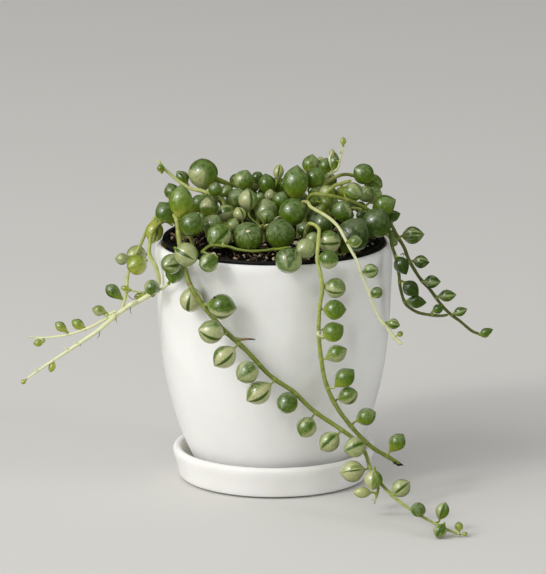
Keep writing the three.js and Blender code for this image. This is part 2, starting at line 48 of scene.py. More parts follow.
def addObject(name, data):
    thing = bpy.data.objects.new(name, data)
    bpy.context.collection.objects.link(thing)
    return thing


def newMesh(name, corners, faces, *materials):
    mesh = bpy.data.meshes.new(name)
    mesh.from_pydata(corners, [], faces)
    for material in materials:
        mesh.materials.append(material)
    return mesh


def onCircle(radius, angle):
    return radius * math.cos(angle), radius * math.sin(angle)


# camera, lights and floor

camera = {"place": (-0.4, -1800, 488), "pitch": 12.69, "lens": 271.3, "sensor": 36, "clipEnd": 60}

# where the picture's right, up and towards-the-viewer lie, for tips and windows below
pitch = math.radians(camera["pitch"])
picture = {
    "right": np.array((1.0, 0.0, 0.0)),
    "up": np.array((0.0, math.sin(pitch), math.cos(pitch))),
    "viewer": np.array((0.0, -math.cos(pitch), math.sin(pitch))),
}


def makeCamera():
    data = bpy.data.cameras.new("camera")
    data.lens, data.sensor_width = camera["lens"], camera["sensor"]
    data.clip_end = camera["clipEnd"]
    view = addObject("camera", data)
    view.location = Vector(camera["place"]) * mm
    view.rotation_euler = (math.radians(90 - camera["pitch"]), 0, 0)
    bpy.context.scene.camera = view


studio = {
    "key": {"place": (-1810, -1220, 1420), "size": (2600, 2600), "power": 38.5, "color": (1, 0.985, 0.96)},
    "spark": {"place": (-1500, -1350, 1500), "size": (420, 420), "power": 14, "color": (1, 0.99, 0.97)},
    "overhead": {"place": (-200, 300, 2400), "size": (2200, 1600), "power": 2.2, "color": (1, 1, 1)},
    "side": {"place": (2300, -1300, 1000), "size": (700, 1100), "power": 12, "color": (0.98, 0.99, 1)},
    "front": {"place": (-500, -2700, 350), "size": (3000, 1200), "power": 2.5, "color": (1, 1, 1)},
    "shineless": ("side", "front"),  # these and the air light the scene without being mirrored in it
    "aim": (0, 0, 60),
    "airLeft": (0.78, 0.775, 0.755),
    "airRight": (0.60, 0.60, 0.59),
    "airStrength": 0.683,
    "floorSize": 30000,
}


def makeLight(name):
    setting = studio[name]
    data = bpy.data.lights.new(name, "AREA")
    data.shape = "RECTANGLE"
    data.size, data.size_y = (side * mm for side in setting["size"])
    data.energy = setting["power"]
    data.color = setting["color"]
    light = addObject(name, data)
    light.location = Vector(setting["place"]) * mm
    aim = Vector(studio["aim"]) * mm - light.location
    light.rotation_euler = aim.to_track_quat("-Z", "Y").to_euler()
    light.visible_glossy = name not in studio["shineless"]


def makeAir():
    m = Finish(bpy.data.worlds.new("studioAir"), "Background")
    across = m.add("SeparateXYZ", {0: m.add("TexCoord").outputs["Generated"]}).outputs[0]
    shade = m.add("MapRange", {"Value": across, "From Min": -1}).outputs[0]
    m.set(Strength=studio["airStrength"], Color=m.mix(shade, studio["airLeft"], studio["airRight"]))
    m.owner.cycles_visibility.glossy = False
    bpy.context.scene.world = m.owner


# Keeps the node lines of a material, or of the world, short
class Finish:
    def __init__(self, owner, shader="Principled BSDF"):
        owner.use_nodes = True
        self.owner = owner
        self.tree = owner.node_tree
        self.shader = self.tree.nodes[shader]

    def feed(self, socket, value):
        if isinstance(value, bpy.types.NodeSocket):
            self.tree.links.new(value, socket)
        else:
            socket.default_value = value

    def add(self, kind, inputs=None, **settings):
        node = self.tree.nodes.new("ShaderNode" + kind)
        for name, value in settings.items():
            setattr(node, name, value)
        for key, value in (inputs or {}).items():
            self.feed(node.inputs[key], value)
        return node

    def set(self, **values):
        for name, value in values.items():
            self.feed(self.shader.inputs[name.replace("_", " ")], value)

    def attribute(self, name, output="Fac"):
        return self.add("Attribute", attribute_name=name).outputs[output]

    def place(self):
        return self.add("TexCoord").outputs["Object"]

    def calc(self, operation, a, b=0.0):
        return self.add("Math", {0: a, 1: b}, operation=operation).outputs[0]

    def plus(self, a, b):
        return self.calc("ADD", a, b)

    def times(self, a, b):
        return self.calc("MULTIPLY", a, b)

    # a value that a noise moves up and down
    def sway(self, value, noise, weight):
        return self.plus(value, self.times(self.calc("SUBTRACT", noise, 0.5), weight))

    def noise(self, vector, scale, detail=2.0, rough=0.5, shift=None):
        inputs = {"Vector": vector, "Scale": scale, "Detail": detail, "Roughness": rough}
        if shift is None:
            return self.add("TexNoise", inputs).outputs[0]
        inputs["W"] = shift
        return self.add("TexNoise", inputs, noise_dimensions="4D").outputs[0]

    def span(self, value, low, high, start=0.0, end=1.0):
        inputs = {"Value": value, "From Min": low, "From Max": high, "To Min": start, "To Max": end}
        return self.add("MapRange", inputs, interpolation_type="SMOOTHSTEP").outputs[0]

    def mix(self, factor, a, b):
        a, b = (color if isinstance(color, bpy.types.NodeSocket) else (*color, 1) for color in (a, b))
        return self.add("Mix", {0: factor, 6: a, 7: b}, data_type="RGBA").outputs[2]

    def ramp(self, value, stops):
        node = self.add("ValToRGB", {0: value})
        band = node.color_ramp
        while len(band.elements) < len(stops):
            band.elements.new(0.5)
        for element, (position, color) in zip(band.elements, stops):
            element.position = position
            element.color = (*color, 1)
        return node.outputs[0]

    def stretch(self, vector, scale):
        return self.add("Mapping", {"Vector": vector, "Scale": scale}).outputs[0]

    def bump(self, height, strength, distance):
        node = self.add("Bump", {"Height": height, "Strength": strength, "Distance": distance})
        self.set(Normal=node.outputs[0])


def newFinish(name):
    return Finish(bpy.data.materials.new(name))


floorLook = {
    "color": (0.676, 0.669, 0.647),
    "grain": (0.7, 0.693, 0.671),
    "grainScale": 900,
    "roughness": 0.75,
}


def floorFinish():
    m = newFinish("studioPaper")
    grain = m.noise(m.place(), floorLook["grainScale"], 3, 0.7)
    color = m.mix(grain, floorLook["color"], floorLook["grain"])
    m.set(Base_Color=color, Roughness=floorLook["roughness"], Specular_IOR_Level=0.25)
    m.bump(grain, 0.08, 0.0004)
    return m.owner


def makeFloor():
    half = studio["floorSize"] * mm / 2
    corners = [(-half, -half, 0), (half, -half, 0), (half, half, 0), (-half, half, 0)]
    floor = addObject("studioFloor", newMesh("studioFloor", corners, [(0, 1, 2, 3)], floorFinish()))
    floor.visible_glossy = False


makeCamera()
for name in ("key", "spark", "overhead", "side", "front"):
    makeLight(name)
makeAir()
makeFloor()
bpy.context.scene.view_settings.view_transform = "Standard"
print("camera, lights and floor made")


# turned pieces: saucer, ceramic pot and nursery pot

def addPiece(name, mesh, node=None, sharp=40):
    mesh.shade_smooth()
    mesh.set_sharp_from_angle(angle=math.radians(sharp))
    piece = addObject(name, mesh)
    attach(piece, "root")
    if node:
        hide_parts(node)
    return piece


# A closed outline of (radius, height) turned about the upright axis; points on the axis close a pole
def turnedMesh(name, outline, sides, *materials):
    corners, rings = [], []
    for radius, height in outline:
        first = len(corners)
        if radius < 1e-6:
            rings.append([first] * sides)
            corners.append((0, 0, height * mm))
        else:
            rings.append(range(first, first + sides))
            corners += [(*onCircle(radius * mm, math.tau * i / sides), height * mm) for i in range(sides)]
    faces = []
    for a, b in zip(rings, rings[1:] + rings[:1]):
        if a[0] == a[1] and b[0] == b[1]:
            continue
        for i in range(sides):
            j = (i + 1) % sides
            face = [a[i], a[j], b[j], b[i]]
            faces.append([corner for k, corner in enumerate(face) if corner != face[k - 1]])
    return newMesh(name, corners, faces, *materials)


# Points on part of an ellipse: its middle, half width and half height, then the degrees it runs from
# and to, anticlockwise from straight outward
def arc(radius, height, wide, high, start, end, count):
    angles = [math.radians(start + (end - start) * i / (count - 1)) for i in range(count)]
    return [(radius + wide * math.cos(a), height + high * math.sin(a)) for a in angles]


# Point at share t between the middle two of four points on a smooth curve
def between(before, start, end, after, t):
    lean0, lean1 = (end - before) / 2, (after - start) / 2
    curve = start + lean0 * t + (3 * (end - start) - 2 * lean0 - lean1) * t**2
    return curve + (2 * (start - end) + lean0 + lean1) * t**3


# A smooth line through given points
def smoothLine(points, perStep):
    line = []
    last = len(points) - 1
    for i in range(last):
        four = [np.array(points[min(max(k, 0), last)], float) for k in range(i - 1, i + 3)]
        line += [tuple(between(*four, step / perStep)) for step in range(perStep)]
    return line + [tuple(points[-1])]


ceramicLook = {
    "color": (0.86, 0.855, 0.84),
    "shade": (0.80, 0.795, 0.775),
    "roughness": (0.42, 0.56),
}


def ceramicFinish():
    m = newFinish("matteCeramic")
    place = m.place()
    cloud = m.noise(place, 24, 4, 0.55)
    body = m.mix(m.span(cloud, 0.35, 0.7), ceramicLook["color"], ceramicLook["shade"])
    m.set(Base_Color=body)
    low, high = ceramicLook["roughness"]
    m.set(Roughness=m.span(m.noise(place, 60, 3, 0.6), 0.3, 0.7, low, high))
    m.set(Specular_IOR_Level=0.15, Subsurface_Weight=0.4, Subsurface_Scale=0.004)
    m.set(Subsurface_Radius=(1.0, 0.85, 0.6))
    fine = m.plus(m.noise(place, 420, 3, 0.6), m.times(cloud, 2.2))
    m.bump(fine, 0.12, 0.0005)
    return m.owner


ceramic = ceramicFinish()

# outlines are (radius, height), and the arcs in them are as arc() takes them
saucer = {
    "foot": [(0, 0), (36.5, 0), (36.8, 0.25), (37, 0.75)],
    "outside": [(39.2, 0.75), (40.3, 1.0), (40.9, 2.4), (41.8, 6.3), (43.0, 10.6)],
    "lip": (41.55, 12.15, 1.75, 1.75, 0, 180, 14),
    "inside": [(39.6, 12), (38.2, 8.6), (36.4, 5.2), (34.2, 4)],
    "floor": [(0, 4)],
    "sides": 180,
}


def makeSaucer():
    outline = saucer["foot"] + smoothLine(saucer["outside"], 5) + arc(*saucer["lip"])
    outline += smoothLine(saucer["inside"], 6) + saucer["floor"]
    mesh = turnedMesh("saucer", outline, saucer["sides"], ceramic)
    addPiece("saucer", mesh, "ceramic_saucer")


pot = {
    "recess": [(6, 5.5), (26, 5.5)],  # from the drain hole to the foot ring
    "recessEdge": (27.3, 4.9, 0.6, 0.6, 180, 270, 4),
    "footEdge": (30.8, 5, 0.75, 0.7, 270, 330, 4),
    "outside": [(31.5, 4.3), (35.4, 10.7), (40.9, 23.9), (46.5, 45), (49.3, 68), (50.6, 98.8)],
    "crest": (48.7, 98.8, 1.9, 3.9, 8, 90, 10),
    "rimEdge": (48.7, 101.85, 0.8, 0.85, 100, 180, 6),
    "inside": [(47.9, 99.7), (47.6, 90), (46.4, 68), (43.4, 45), (37.6, 23.9), (31, 8.3)],
    "floor": [(6, 8.3)],
    "rimTop": 102.7,
    "sides": 200,
}


def makePot():
    outline = pot["recess"] + arc(*pot["recessEdge"]) + arc(*pot["footEdge"])
    outline += smoothLine(pot["outside"], 9)[1:] + arc(*pot["crest"]) + arc(*pot["rimEdge"])
    outline += smoothLine(pot["inside"], 5) + pot["floor"]
    mesh = turnedMesh("ceramicPot", outline, pot["sides"], ceramic)
    addPiece("ceramicPot", mesh, "ceramic_pot")


liner = {
    "outside": [(0, 9.15), (27.7, 9.15), (28.5, 9.95), (44.2, 96), (46, 97.5), (46, 102.5)],
    "lip": [
        (46.9, 103.2, 0.5, 0.5, 250, 360, 5), (46.9, 103.7, 0.5, 0.5, 0, 90, 6),
        (45.45, 103.75, 0.45, 0.45, 90, 180, 6),
    ],
    "inside": [(44.8, 98), (43, 96.4), (27.3, 10.35), (0, 10.35)],
    "lipInner": 45,
    "top": 104.2,
    "tilt": 0.8,  # degrees; its left edge stands higher
    "dip": 0.6,  # and its front edge lower
    "drains": 6,
    "drainOut": 21.5,
    "drainMiddle": 9.15,
    "drainRadius": 4,
    "drainDeep": 2.4,
    "sides": 160,
    "color": (0.006, 0.006, 0.0065),
    "scuff": (0.045, 0.045, 0.047),
}
leanTurn = (
    Matrix.Translation((0, 0, liner["top"] * mm))
    @ Matrix.Rotation(math.radians(liner["tilt"]), 4, "Y")
    @ Matrix.Rotation(math.radians(liner["dip"]), 4, "X")
    @ Matrix.Translation((0, 0, -liner["top"] * mm))
)


def plasticFinish():
    m = newFinish("blackPlastic")
    place = m.place()
    wear = m.noise(m.stretch(place, (1, 1, 6)), 130, 5, 0.7)
    m.set(Base_Color=m.mix(m.span(wear, 0.58, 0.78), liner["color"], liner["scuff"]))
    m.set(Roughness=m.span(m.noise(place, 210, 4, 0.6), 0.3, 0.7, 0.4, 0.6))
    m.set(Specular_IOR_Level=0.3)
    m.bump(m.noise(place, 700, 2, 0.5), 0.15, 0.0003)
    return m.owner


def makeLiner():
    outline = liner["outside"] + sum((arc(*part) for part in liner["lip"]), []) + liner["inside"]
    mesh = turnedMesh("nurseryPot", outline, liner["sides"], plasticFinish())
    mesh.transform(leanTurn)
    boreDrains(addPiece("nurseryPot", mesh, "nursery_liner"))


def boreDrains(piece):
    radius, deep = liner["drainRadius"], liner["drainDeep"]
    for i in range(liner["drains"]):
        x, y = onCircle(liner["drainOut"], math.tau * i / liner["drains"])
        bore = turnedMesh("bore", [(0, -deep), (radius, -deep), (radius, deep), (0, deep)], 32)
        bore.transform(Matrix.Translation(Vector((x, y, liner["drainMiddle"])) * mm))
        cutter = addObject("bore", bore)
        cut = piece.modifiers.new("drain", "BOOLEAN")
        cut.operation, cut.object = "DIFFERENCE", cutter
        bpy.context.view_layer.objects.active = piece
        bpy.ops.object.modifier_apply(modifier="drain")
        bpy.data.objects.remove(cutter)


makeSaucer()
makePot()
makeLiner()
print("saucer, pot and nursery pot made")


# potting mix: an uneven bed, with crumbs of bark and grit and pale fibres lying on it

mix = {
    "top": 102.6,
    "mound": 1.2,
    "edge": 44.5,
    "wall": ((44.5, 98.8), (42.7, 96.6), (27.0, 10.65)),  # radius and height down to the bottom
    "rings": 60,
    "around": 150,
    "crumbs": 4200,
    "crumbShapes": 9,
    "crumbSize": (0.3, 1.6),  # radius
    "crumbInset": 0.6,
    "smallCrumbs": 2.2,  # power of the draw between the two sizes
    "fibres": 260,
    "fibreStep": 0.45,
    "fibreCount": (8, 15),  # steps
    "fibreThick": (0.06, 0.2),
    "fibreTints": (0.7, 0.86, 0.93, 1.0),
    "fibreInset": 3,
    "fibreLift": 0.75,
    "bedTint": 0.15,
    "seed": 21,
}


def mixHeight(x, y):
    share = math.hypot(x, y) / mix["edge"]
    rough = 0.55 * math.sin(0.9 * x + 1.3) * math.sin(0.8 * y + 0.4) + 0.3 * math.sin(2.3 * x - 1.7 * y)
    return mix["top"] + mix["mound"] * (1 - share * share) + rough * (1 - share**6)


def mixFinish():
    m = newFinish("pottingMix")
    place = m.place()
    stops = [
        (0.0, (0.0012, 0.001, 0.001)), (0.42, (0.005, 0.0035, 0.0025)), (0.6, (0.026, 0.014, 0.008)),
        (0.78, (0.105, 0.06, 0.033)), (0.9, (0.38, 0.28, 0.17)), (1.0, (0.80, 0.70, 0.50)),
    ]
    grain = m.noise(place, 1400, 4, 0.65)
    m.set(Base_Color=m.ramp(m.sway(m.attribute("tint"), grain, 0.35), stops))
    m.set(Roughness=m.span(grain, 0.3, 0.7, 0.6, 0.95), Specular_IOR_Level=0.2)
    m.bump(m.noise(place, 2600, 3, 0.7), 0.5, 0.0004)
    return m.owner


def addMixPiece(name, corners, faces, tints, node=None, sharp=40):
    mesh = newMesh(name, corners, faces, mixMaterial)
    mesh.transform(leanTurn)
    layer = mesh.attributes.new("tint", "FLOAT", "POINT")
    layer.data.foreach_set("value", np.array(tints, np.float32))
    addPiece(name, mesh, node, sharp)


def makeBed():
    rings, around = mix["rings"], mix["around"]
    turns = [math.tau * i / around for i in range(around)]
    corners, faces = [(0, 0, mixHeight(0, 0) * mm)], []
    for ring in range(1, rings + 1):
        for turn in turns:
            x, y = onCircle(mix["edge"] * ring / rings, turn)
            corners.append((x * mm, y * mm, mixHeight(x, y) * mm))
    for radius, height in mix["wall"]:
        corners += [(*onCircle(radius * mm, turn), height * mm) for turn in turns]
    bands = rings + len(mix["wall"]) - 1
    for i in range(around):
        j = (i + 1) % around
        faces.append((0, 1 + i, 1 + j))
        for band in range(bands):
            a, b = 1 + band * around, 1 + (band + 1) * around
            faces.append((a + i, b + i, b + j, a + j))
    faces.append([1 + bands * around + i for i in range(around)][::-1])
    addMixPiece("pottingMix", corners, faces, [mix["bedTint"]] * len(corners), "potting_mix")


# A few-sided ball to make crumbs from: two poles and two rings
def crumbShape(draw):
    sides, low, high = 6, 2, 8
    corners = [(0, 0, -1), (0, 0, 1)]
    for height, shift in ((-0.5, 0), (0.45, 0.5)):
        corners += [(*onCircle(0.87, math.tau * (i + shift) / sides), height) for i in range(sides)]
    faces = []
    for i in range(sides):
        j = (i + 1) % sides
        faces += [(0, low + j, low + i), (1, high + i, high + j)]
        faces += [(low + i, low + j, high + i), (high + i, low + j, high + j)]
    return np.array(corners) * [[draw.uniform(0.7, 1.25)] for _ in corners], faces


def makeCrumbs():
    draw = random.Random(mix["seed"])
    shapes = [crumbShape(draw) for _ in range(mix["crumbShapes"])]
    corners, faces, tints = [], [], []
    low, high = mix["crumbSize"]
    for _ in range(mix["crumbs"]):
        radius = (mix["edge"] - mix["crumbInset"]) * math.sqrt(draw.random())
        x, y = onCircle(radius, draw.uniform(0, math.tau))
        size = low + (high - low) * draw.random() ** mix["smallCrumbs"]
        shape, shapeFaces = draw.choice(shapes)
        flat = np.array((draw.uniform(0.8, 1.5), draw.uniform(0.6, 1.1), draw.uniform(0.35, 0.8)))
        turn = Matrix.Rotation(draw.uniform(0, 6.28), 3, "Z") @ Matrix.Rotation(draw.gauss(0, 0.7), 3, "X")
        placed = (shape * flat * size) @ np.array(turn).T
        placed += (x, y, mixHeight(x, y) + size * draw.uniform(-0.1, 0.75))
        faces += [[len(tints) + corner for corner in face] for face in shapeFaces]
        corners += (placed * mm).tolist()
        kind = draw.random()
        tint = draw.uniform(0.0, 0.45) if kind < 0.6 else draw.uniform(0.5, 0.86)
        if kind > 0.9:
            tint = draw.uniform(0.88, 1.0)
        tints += [tint] * len(placed)
    addMixPiece("barkAndGrit", corners, faces, tints, sharp=30)


def makeFibres():
    draw = random.Random(mix["seed"] + 1)
    corners, faces, tints = [], [], []
    sides = 5
    for _ in range(mix["fibres"]):
        radius = (mix["edge"] - mix["fibreInset"]) * math.sqrt(draw.random())
        x, y = onCircle(radius, draw.uniform(0, 6.28))
        heading = draw.uniform(0, 6.28)
        thick = draw.uniform(*mix["fibreThick"])
        tint = draw.choice(mix["fibreTints"])
        count = draw.randint(*mix["fibreCount"])
        first = len(corners)
        for step in range(count):
            heading += draw.gauss(0, 0.45)
            east, north = onCircle(1, heading)
            x += mix["fibreStep"] * east
            y += mix["fibreStep"] * north
            z = mixHeight(x, y) + mix["fibreLift"] + 0.5 * math.sin(step * 0.9 + tint)
            lean = thick * (1 - 0.5 * step / count)
            for i in range(sides):
                across, up = onCircle(lean, math.tau * i / sides)
                corners.append(((x - north * across) * mm, (y + east * across) * mm, (z + up) * mm))
        for a in range(first, first + (count - 1) * sides, sides):
            for i in range(sides):
                j = (i + 1) % sides
                faces.append((a + i, a + j, a + sides + j, a + sides + i))
        faces.append([first + i for i in range(sides)][::-1])
        faces.append([first + (count - 1) * sides + i for i in range(sides)])
        tints += [tint] * (count * sides)
    addMixPiece("soilFibres", corners, faces, tints)


mixMaterial = mixFinish()
makeBed()
makeCrumbs()
makeFibres()
print("potting mix made")


# The plant. Each stem has tables of its routes, pearls and sprigs, with a row for each; a row goes on
# where its line ends with a comma or a semicolon. A route is its points; the first route, and any that
# starts with two numbers, stands in the mix there, and the others fork off. "radius" is the stem that
# pushes pearls away; "thick" and "tone" (-1 olive, 0 green, 1 whitish) run from root to tip, for each
# route. A scar is its middle and size. A sprig is its points, then what runs along it.
# A pearl is its middle and diameter, then these columns, with "-" for none, then the rest by name. All
# turns are in degrees as the camera sees them:
#   tip     which way the tip points in the picture: 0 right, 90 up
#   toward  how far the tip leans towards the viewer
#   window  turn of the see-through stripe about the pearl's axis, 0 facing the viewer
#   tone    -1 dark olive to 1 yellow
#   marble, frost  how much of the pale marbling, and of the silvery mottling with its painted sheen
#   milk    0 pale green to 1 cream, the colour of the cream patches
#   cream   turn and half width of a patch; two more numbers keep it between two heights,
#           -1 at the stalk and 1 at the tip
#   wide    width of the window; ripple, rings round the tip
#   long    length over width; point, pull, how far the tip and the base are drawn out
pearlColumns = ("tip", "toward", "window", "tone", "marble", "frost", "milk")

rooting = {"top": 102.6, "steps": (-7, -2, 1.5)}

plant = {}
plant["front_left_stem"] = {
    "radius": 0.9,
    "thick": [(0.95, 1, 1.05, 0.95, 0.75, 0.5), (0.6, 0.5)],
    "tone": [(0.25, 0.1, -0.05, 0.05, 0.2)],
    "routes": """
    -34 -14, -37 -18 112, -41.5 -25 119, -40.5 -28 117, -39.5 -34 109.5, -38.5 -39 104.5, -37 -43 100,
    -34.5 -47.5 93.5, -30 -50 87, -21.5 -52.5 77, -11.5 -54.5 68, -1.5 -56 57.5, 8 -57 51, 16.5 -58 43,
    27 -59.5 36, 34 -61 31, 38 -63 26, 40 -67 20.5, 44.5 -73 15.5, 50.5 -82 11.5, 59 -90 7.5, 68 -96 4,
    75.5 -98.5 1.3
    41.5 -69 18.5, 43 -72 13.5, 42 -73 9
    """,
    "pearls": """
    -43 -14 127 6.5, 110 - - -.1 .6
    -39 -27 125.5 10, 88 10 110 .32 .1 .5, long 1.18
    -35 -31 116.5 10, 60 30 90 -.1 .1 .3
    -36 -50 107 10, -32 35 5 .1 - - .55, cream 0 78
    -34 -43.5 87 10, 262 -30 12 -.05 - - .85, cream 30 115
    -21.5 -56 87 10.5, -8 8 62 -.05 .3 - .9, cream 84 58
    -26 -57 76.5 10, 170 25 -32 .1 .95 - .7, cream -50 74
    -20.5 -58 66 9.5, 222 5 -18 .05 - - .9, cream -8 46, cream -62 12
    -11 -60 60 9.5, 215 30 -150 -.05 .5 - .7, cream -38 26, cream 60 12
    -6.5 -59 51 10, 215 5 -28 .1 - - 1, cream -38 56, cream 88 32, pull .35
    5.5 -60 47 9, 230 50 - -.05 .1
    13.5 -60 36.5 8.5, 240 30 170 .05 - - .8, cream -75 40
    23 -61 30.5 8.5, 222 10 8 0 .6 - .7, cream -35 36, cream 45 14
    33.5 -68 30 8.5, 200 20 10 .3 .95 - .5, cream -40 34, cream 50 22
    32.5 -67 19.5 9, 187 10 4 .5 .8 - .85, wide .6, cream -30 50, cream 62 30
    41 -77 18.5 7.5, 265 20 150 .25 - - .9, cream 80 72
    52 -80 15.5 7.5, 38 10 0 .1 .9 - .6, cream 0 62
    36.5 -73 12 4.5, 180 - 180 .95 - - .8, cream 0 180, long 1.4
    59 -94 10.5 6, 160 60 - -.05 .6
    69 -92 9.5 5.5, 72 10 -5 .15 - - .5, cream -50 26, long 1.15
    68 -99 3.2 5.5, 240 20 10 .05 - - .6, cream -60 20, cream 70 16
    75.5 -98 4.5 3.5, 95 - - .65 .6
    78 -98.5 1.5 1.8, 20 - - .8
    """,
    "scars": [(-34.9, -46.8, 94.4, 1.1), (-32.2, -48.9, 89.6, 0.9)],
    "sprigs": """
    -16.4 -53.4 72.6, -14.1 -54.6 72.7, -10.8 -56 73.2, -7.7 -56.8 73.2; thick .95 .75 .62 .5 .4 .18;
      tone -.1 -.1; dry 0 .15 .6 1 1.4
    42.1 -71.5 11, 41.9 -73.4 8.7, 41.1 -73.6 9.1, 40.3 -73.8 8.9; thick .3 .35 .3 .08; tone .6;
      dry 0 .2 .5
    41.9 -73.2 9, 41.9 -73.4 8.2, 41.4 -73.6 7.2; thick .35 .4 .1; tone .6; dry 0 .3 .6
    42.8 -70.2 13.7, 43.4 -70.8 13.4, 43.8 -71 13.1; thick .3 .35 .15; dry 1 1.4
    75 -98.5 1.7, 76.4 -98.6 2, 77 -98.6 2.6; thick .4 .35 .1; tone .5; dry .1 .5
    -24.9 -57.2 91.1, -24.6 -57.5 91.3, -24.2 -57.6 91.5; thick .2 .5 .2; dry 1.4
    """,
}
plant["front_middle_stem"] = {
    "radius": 0.9,
    "thick": [(0.7, 0.75, 0.85, 0.95, 0.85)],
    "tone": [(0.2, 0.3, 0.1, -0.1)],
    "routes": """
    12 -22, 13.5 -26 113, 15 -34 117.5, 18.5 -39 116.5, 18.5 -44 113.5, 18 -49 108.5, 18 -52 105,
    19 -54 101.5, 20 -55 94, 19 -55 87.5, 18.5 -54.5 77.5, 19 -54 69, 20.8 -53 56.5, 23.4 -52 48.5,
    26.8 -51.5 42, 31.2 -51 35.8, 36.2 -51 30, 41.7 -51 25, 47.5 -51 21.5, 53 -51 18
    """,
    "pearls": """
    22.5 -54 106.5 8, -10 30 110 -.02 .1 .2 .6, cream 75 40
    24 -55 95 8.5, -15 20 32 .12 0 - .45, wide .8, cream 34 36, point .08
    25 -55 85.5 8.5, 0 - -90 .12 .1 .3, point .2, pull .1
    24.5 -55 76 8.5, 32 - -90 .15 0 .2, point .2, pull .1
    26 -54 66.5 7.5, 25 - -80 .15 .8 - .4, cream 62 46, point .3, pull .4
    29.5 -53 56 8, 42 - -70 .12 .1, point .3, pull .45
    31 -52 48 7.5, 20 30 60 .1 - - .6, cream 62 40, point .25, pull .5
    38.5 -50 38.5 7.5, 25 20 - .18 0, point .3, pull .4
    51.5 -50 27.5 7, 52 - - .2 0, point .25, pull .5
    """,
    "scars": [(53, -51, 18, 1.4)],
    "sprigs": """
    49.6 -51 19.6, 50.8 -51.3 18.9, 51.9 -51.2 18.2, 53.2 -51.2 18.1, 54.2 -51 17.6;
      thick .5 .8 .55 .6 .35 .1; dry 1 1.4; rough .3
    20.3 -53.2 76.8, 18.2 -55.8 75.5, 20.2 -55.6 74.2, 22.6 -54.6 74.3; thick .45 .6 .55 .35; tone .8 .65
    """,
}
plant["front_right_stem"] = {
    "radius": 0.7,
    "thick": [(0.75, 0.75, 0.7, 0.62, 0.6, 0.85)],
    "tone": [(0.1, 0.35, 0.45, 0.75, 0.85, 0.7)],
    "routes": """
    10 -2, 11 -3.5 118.5, 14 -14 122.5, 15.5 -24 122.5, 20.5 -34 121.5, 24 -39 120, 27 -43 117.5,
    29.5 -46 113.5, 32 -48 109, 34.5 -49 104.5, 36.5 -49 99, 39 -48.5 92.5, 43.5 -47 80.5, 47 -46.5 76,
    50.5 -46 71, 53.5 -46 68.5
    """,
    "pearls": """
    33.5 -49 113 5, 0 20 -150 .05 - - .8, cream 100 50, cream -90 22, point .35
    40 -49 100.5 6, 5 30 5 0 - - .35, cream -40 18, cream 38 16
    42 -47.5 91 5, 20 50 - -.05 .8
    49 -46 77 4.5, -15 - 30 .05 - - .5, cream -45 12, cream -5 6, point .35
    52.5 -46 73 2.5, 30 - - .55 .7
    """,
}
plant["right_outer_stem"] = {
    "radius": 0.75,
    "thick": [(0.85, 0.85, 0.75, 0.6)],
    "tone": [(0.25, 0, -0.45, -0.45)],
    "routes": """
    13 5, 13.5 1 116, 15 -7 123, 17 -14 126, 21 -18 126.5, 26 -18 125.5, 31 -17 124, 35.5 -16 122,
    39.5 -15 119.5, 44.5 -13.5 116.5, 49 -12.5 113, 52 -14 108, 55 -15 103, 57 -16 98, 61.5 -17 90.5,
    66 -18 85.5, 70.5 -19 79.5, 74.5 -20 75.5, 78.5 -20 72.5, 83.5 -21 68.5, 87 -21 67
    """,
    "pearls": """
    33.5 -12 126.5 8, -30 30 - .05 .7 .8 .3, cream -45 30
    28.5 -23 120.5 8.5, 90 40 - -.15 .4 .4 .4, cream 60 14
    46.5 -6 119.5 9, 25 10 -60 .15 - .6, point .3
    42 -24 115 12.5, 60 40 150 -.35 .1 .3
    58.5 -13 108 7.5, 5 - -12 -.3 - .2 .3, cream -28 9, cream -2 5, point .4, pull .3
    62 -15 97 5.5, -5 - -12 -.45 - .1 .2, cream -30 8, point .4, pull .3
    66.5 -20 89.5 5.5, 0 - -20 -.45 - .1 .2, cream 12 9, point .45, pull .3
    73 -18 83 5, 5 - -20 -.15 - - .3, cream 4 12, long 1.15, point .45, pull .35
    78.5 -20 76.5 4, 20 - -20 -.1 - - .3, cream 0 14, long 1.15, point .5, pull .4
    88.5 -21 67.5 3.5, 22 - - 0 .2, long 1.3, point .5
    """,
    "sprigs": """
    87 -21.2 67, 88.6 -21.6 66.4, 89.6 -21.4 66.2, 90.8 -21.2 66.3; thick .5 .75 .6 .1; tone -.2 0;
      dry 0 0 .3
    53.3 -20 101, 54 -19 101.4, 54.8 -18 101.2, 55.3 -17 100.1; thick .16 .14 .07; dry 1.3
    54.5 -18 101.1, 54.5 -18 99.4; thick .16 .14 .07; dry 1.3
    """,
}
plant["right_inner_stem"] = {
    "radius": 0.75,
    "thick": [(0.8, 0.7, 0.6)],
    "tone": [(-0.3, -0.5, -0.4)],
    "routes": """
    34 -6, 39 -11 110.5, 45.5 -15 112, 48.5 -19 111.5, 49.5 -23 106, 51 -24.5 101.5, 52.5 -25.5 94,
    53 -25.5 89, 54.5 -25.5 83, 56.5 -25.5 80, 60.5 -25.5 77.5, 65 -25.5 76.5, 70 -25.5 76, 73.5 -25.5 76.5
    """,
    "pearls": """
    37 -8 115.5 4.5, - - - -.3
    50.5 -2 114 5, 20 - - -.2, point .4
    53 -28 98.5 6.5, -62 10 0 -.6 .15 .1, point .5
    57.5 -25.5 87.5 6.5, -42 - 10 -.48 .2 .1, point .45
    59 -25.5 82 5.5, -5 - 10 -.35 .3 .1, long 1.1, point .5, pull .4
    69 -25.5 78.5 4, 25 - - -.15 .2, point .5, pull .3
    """,
}
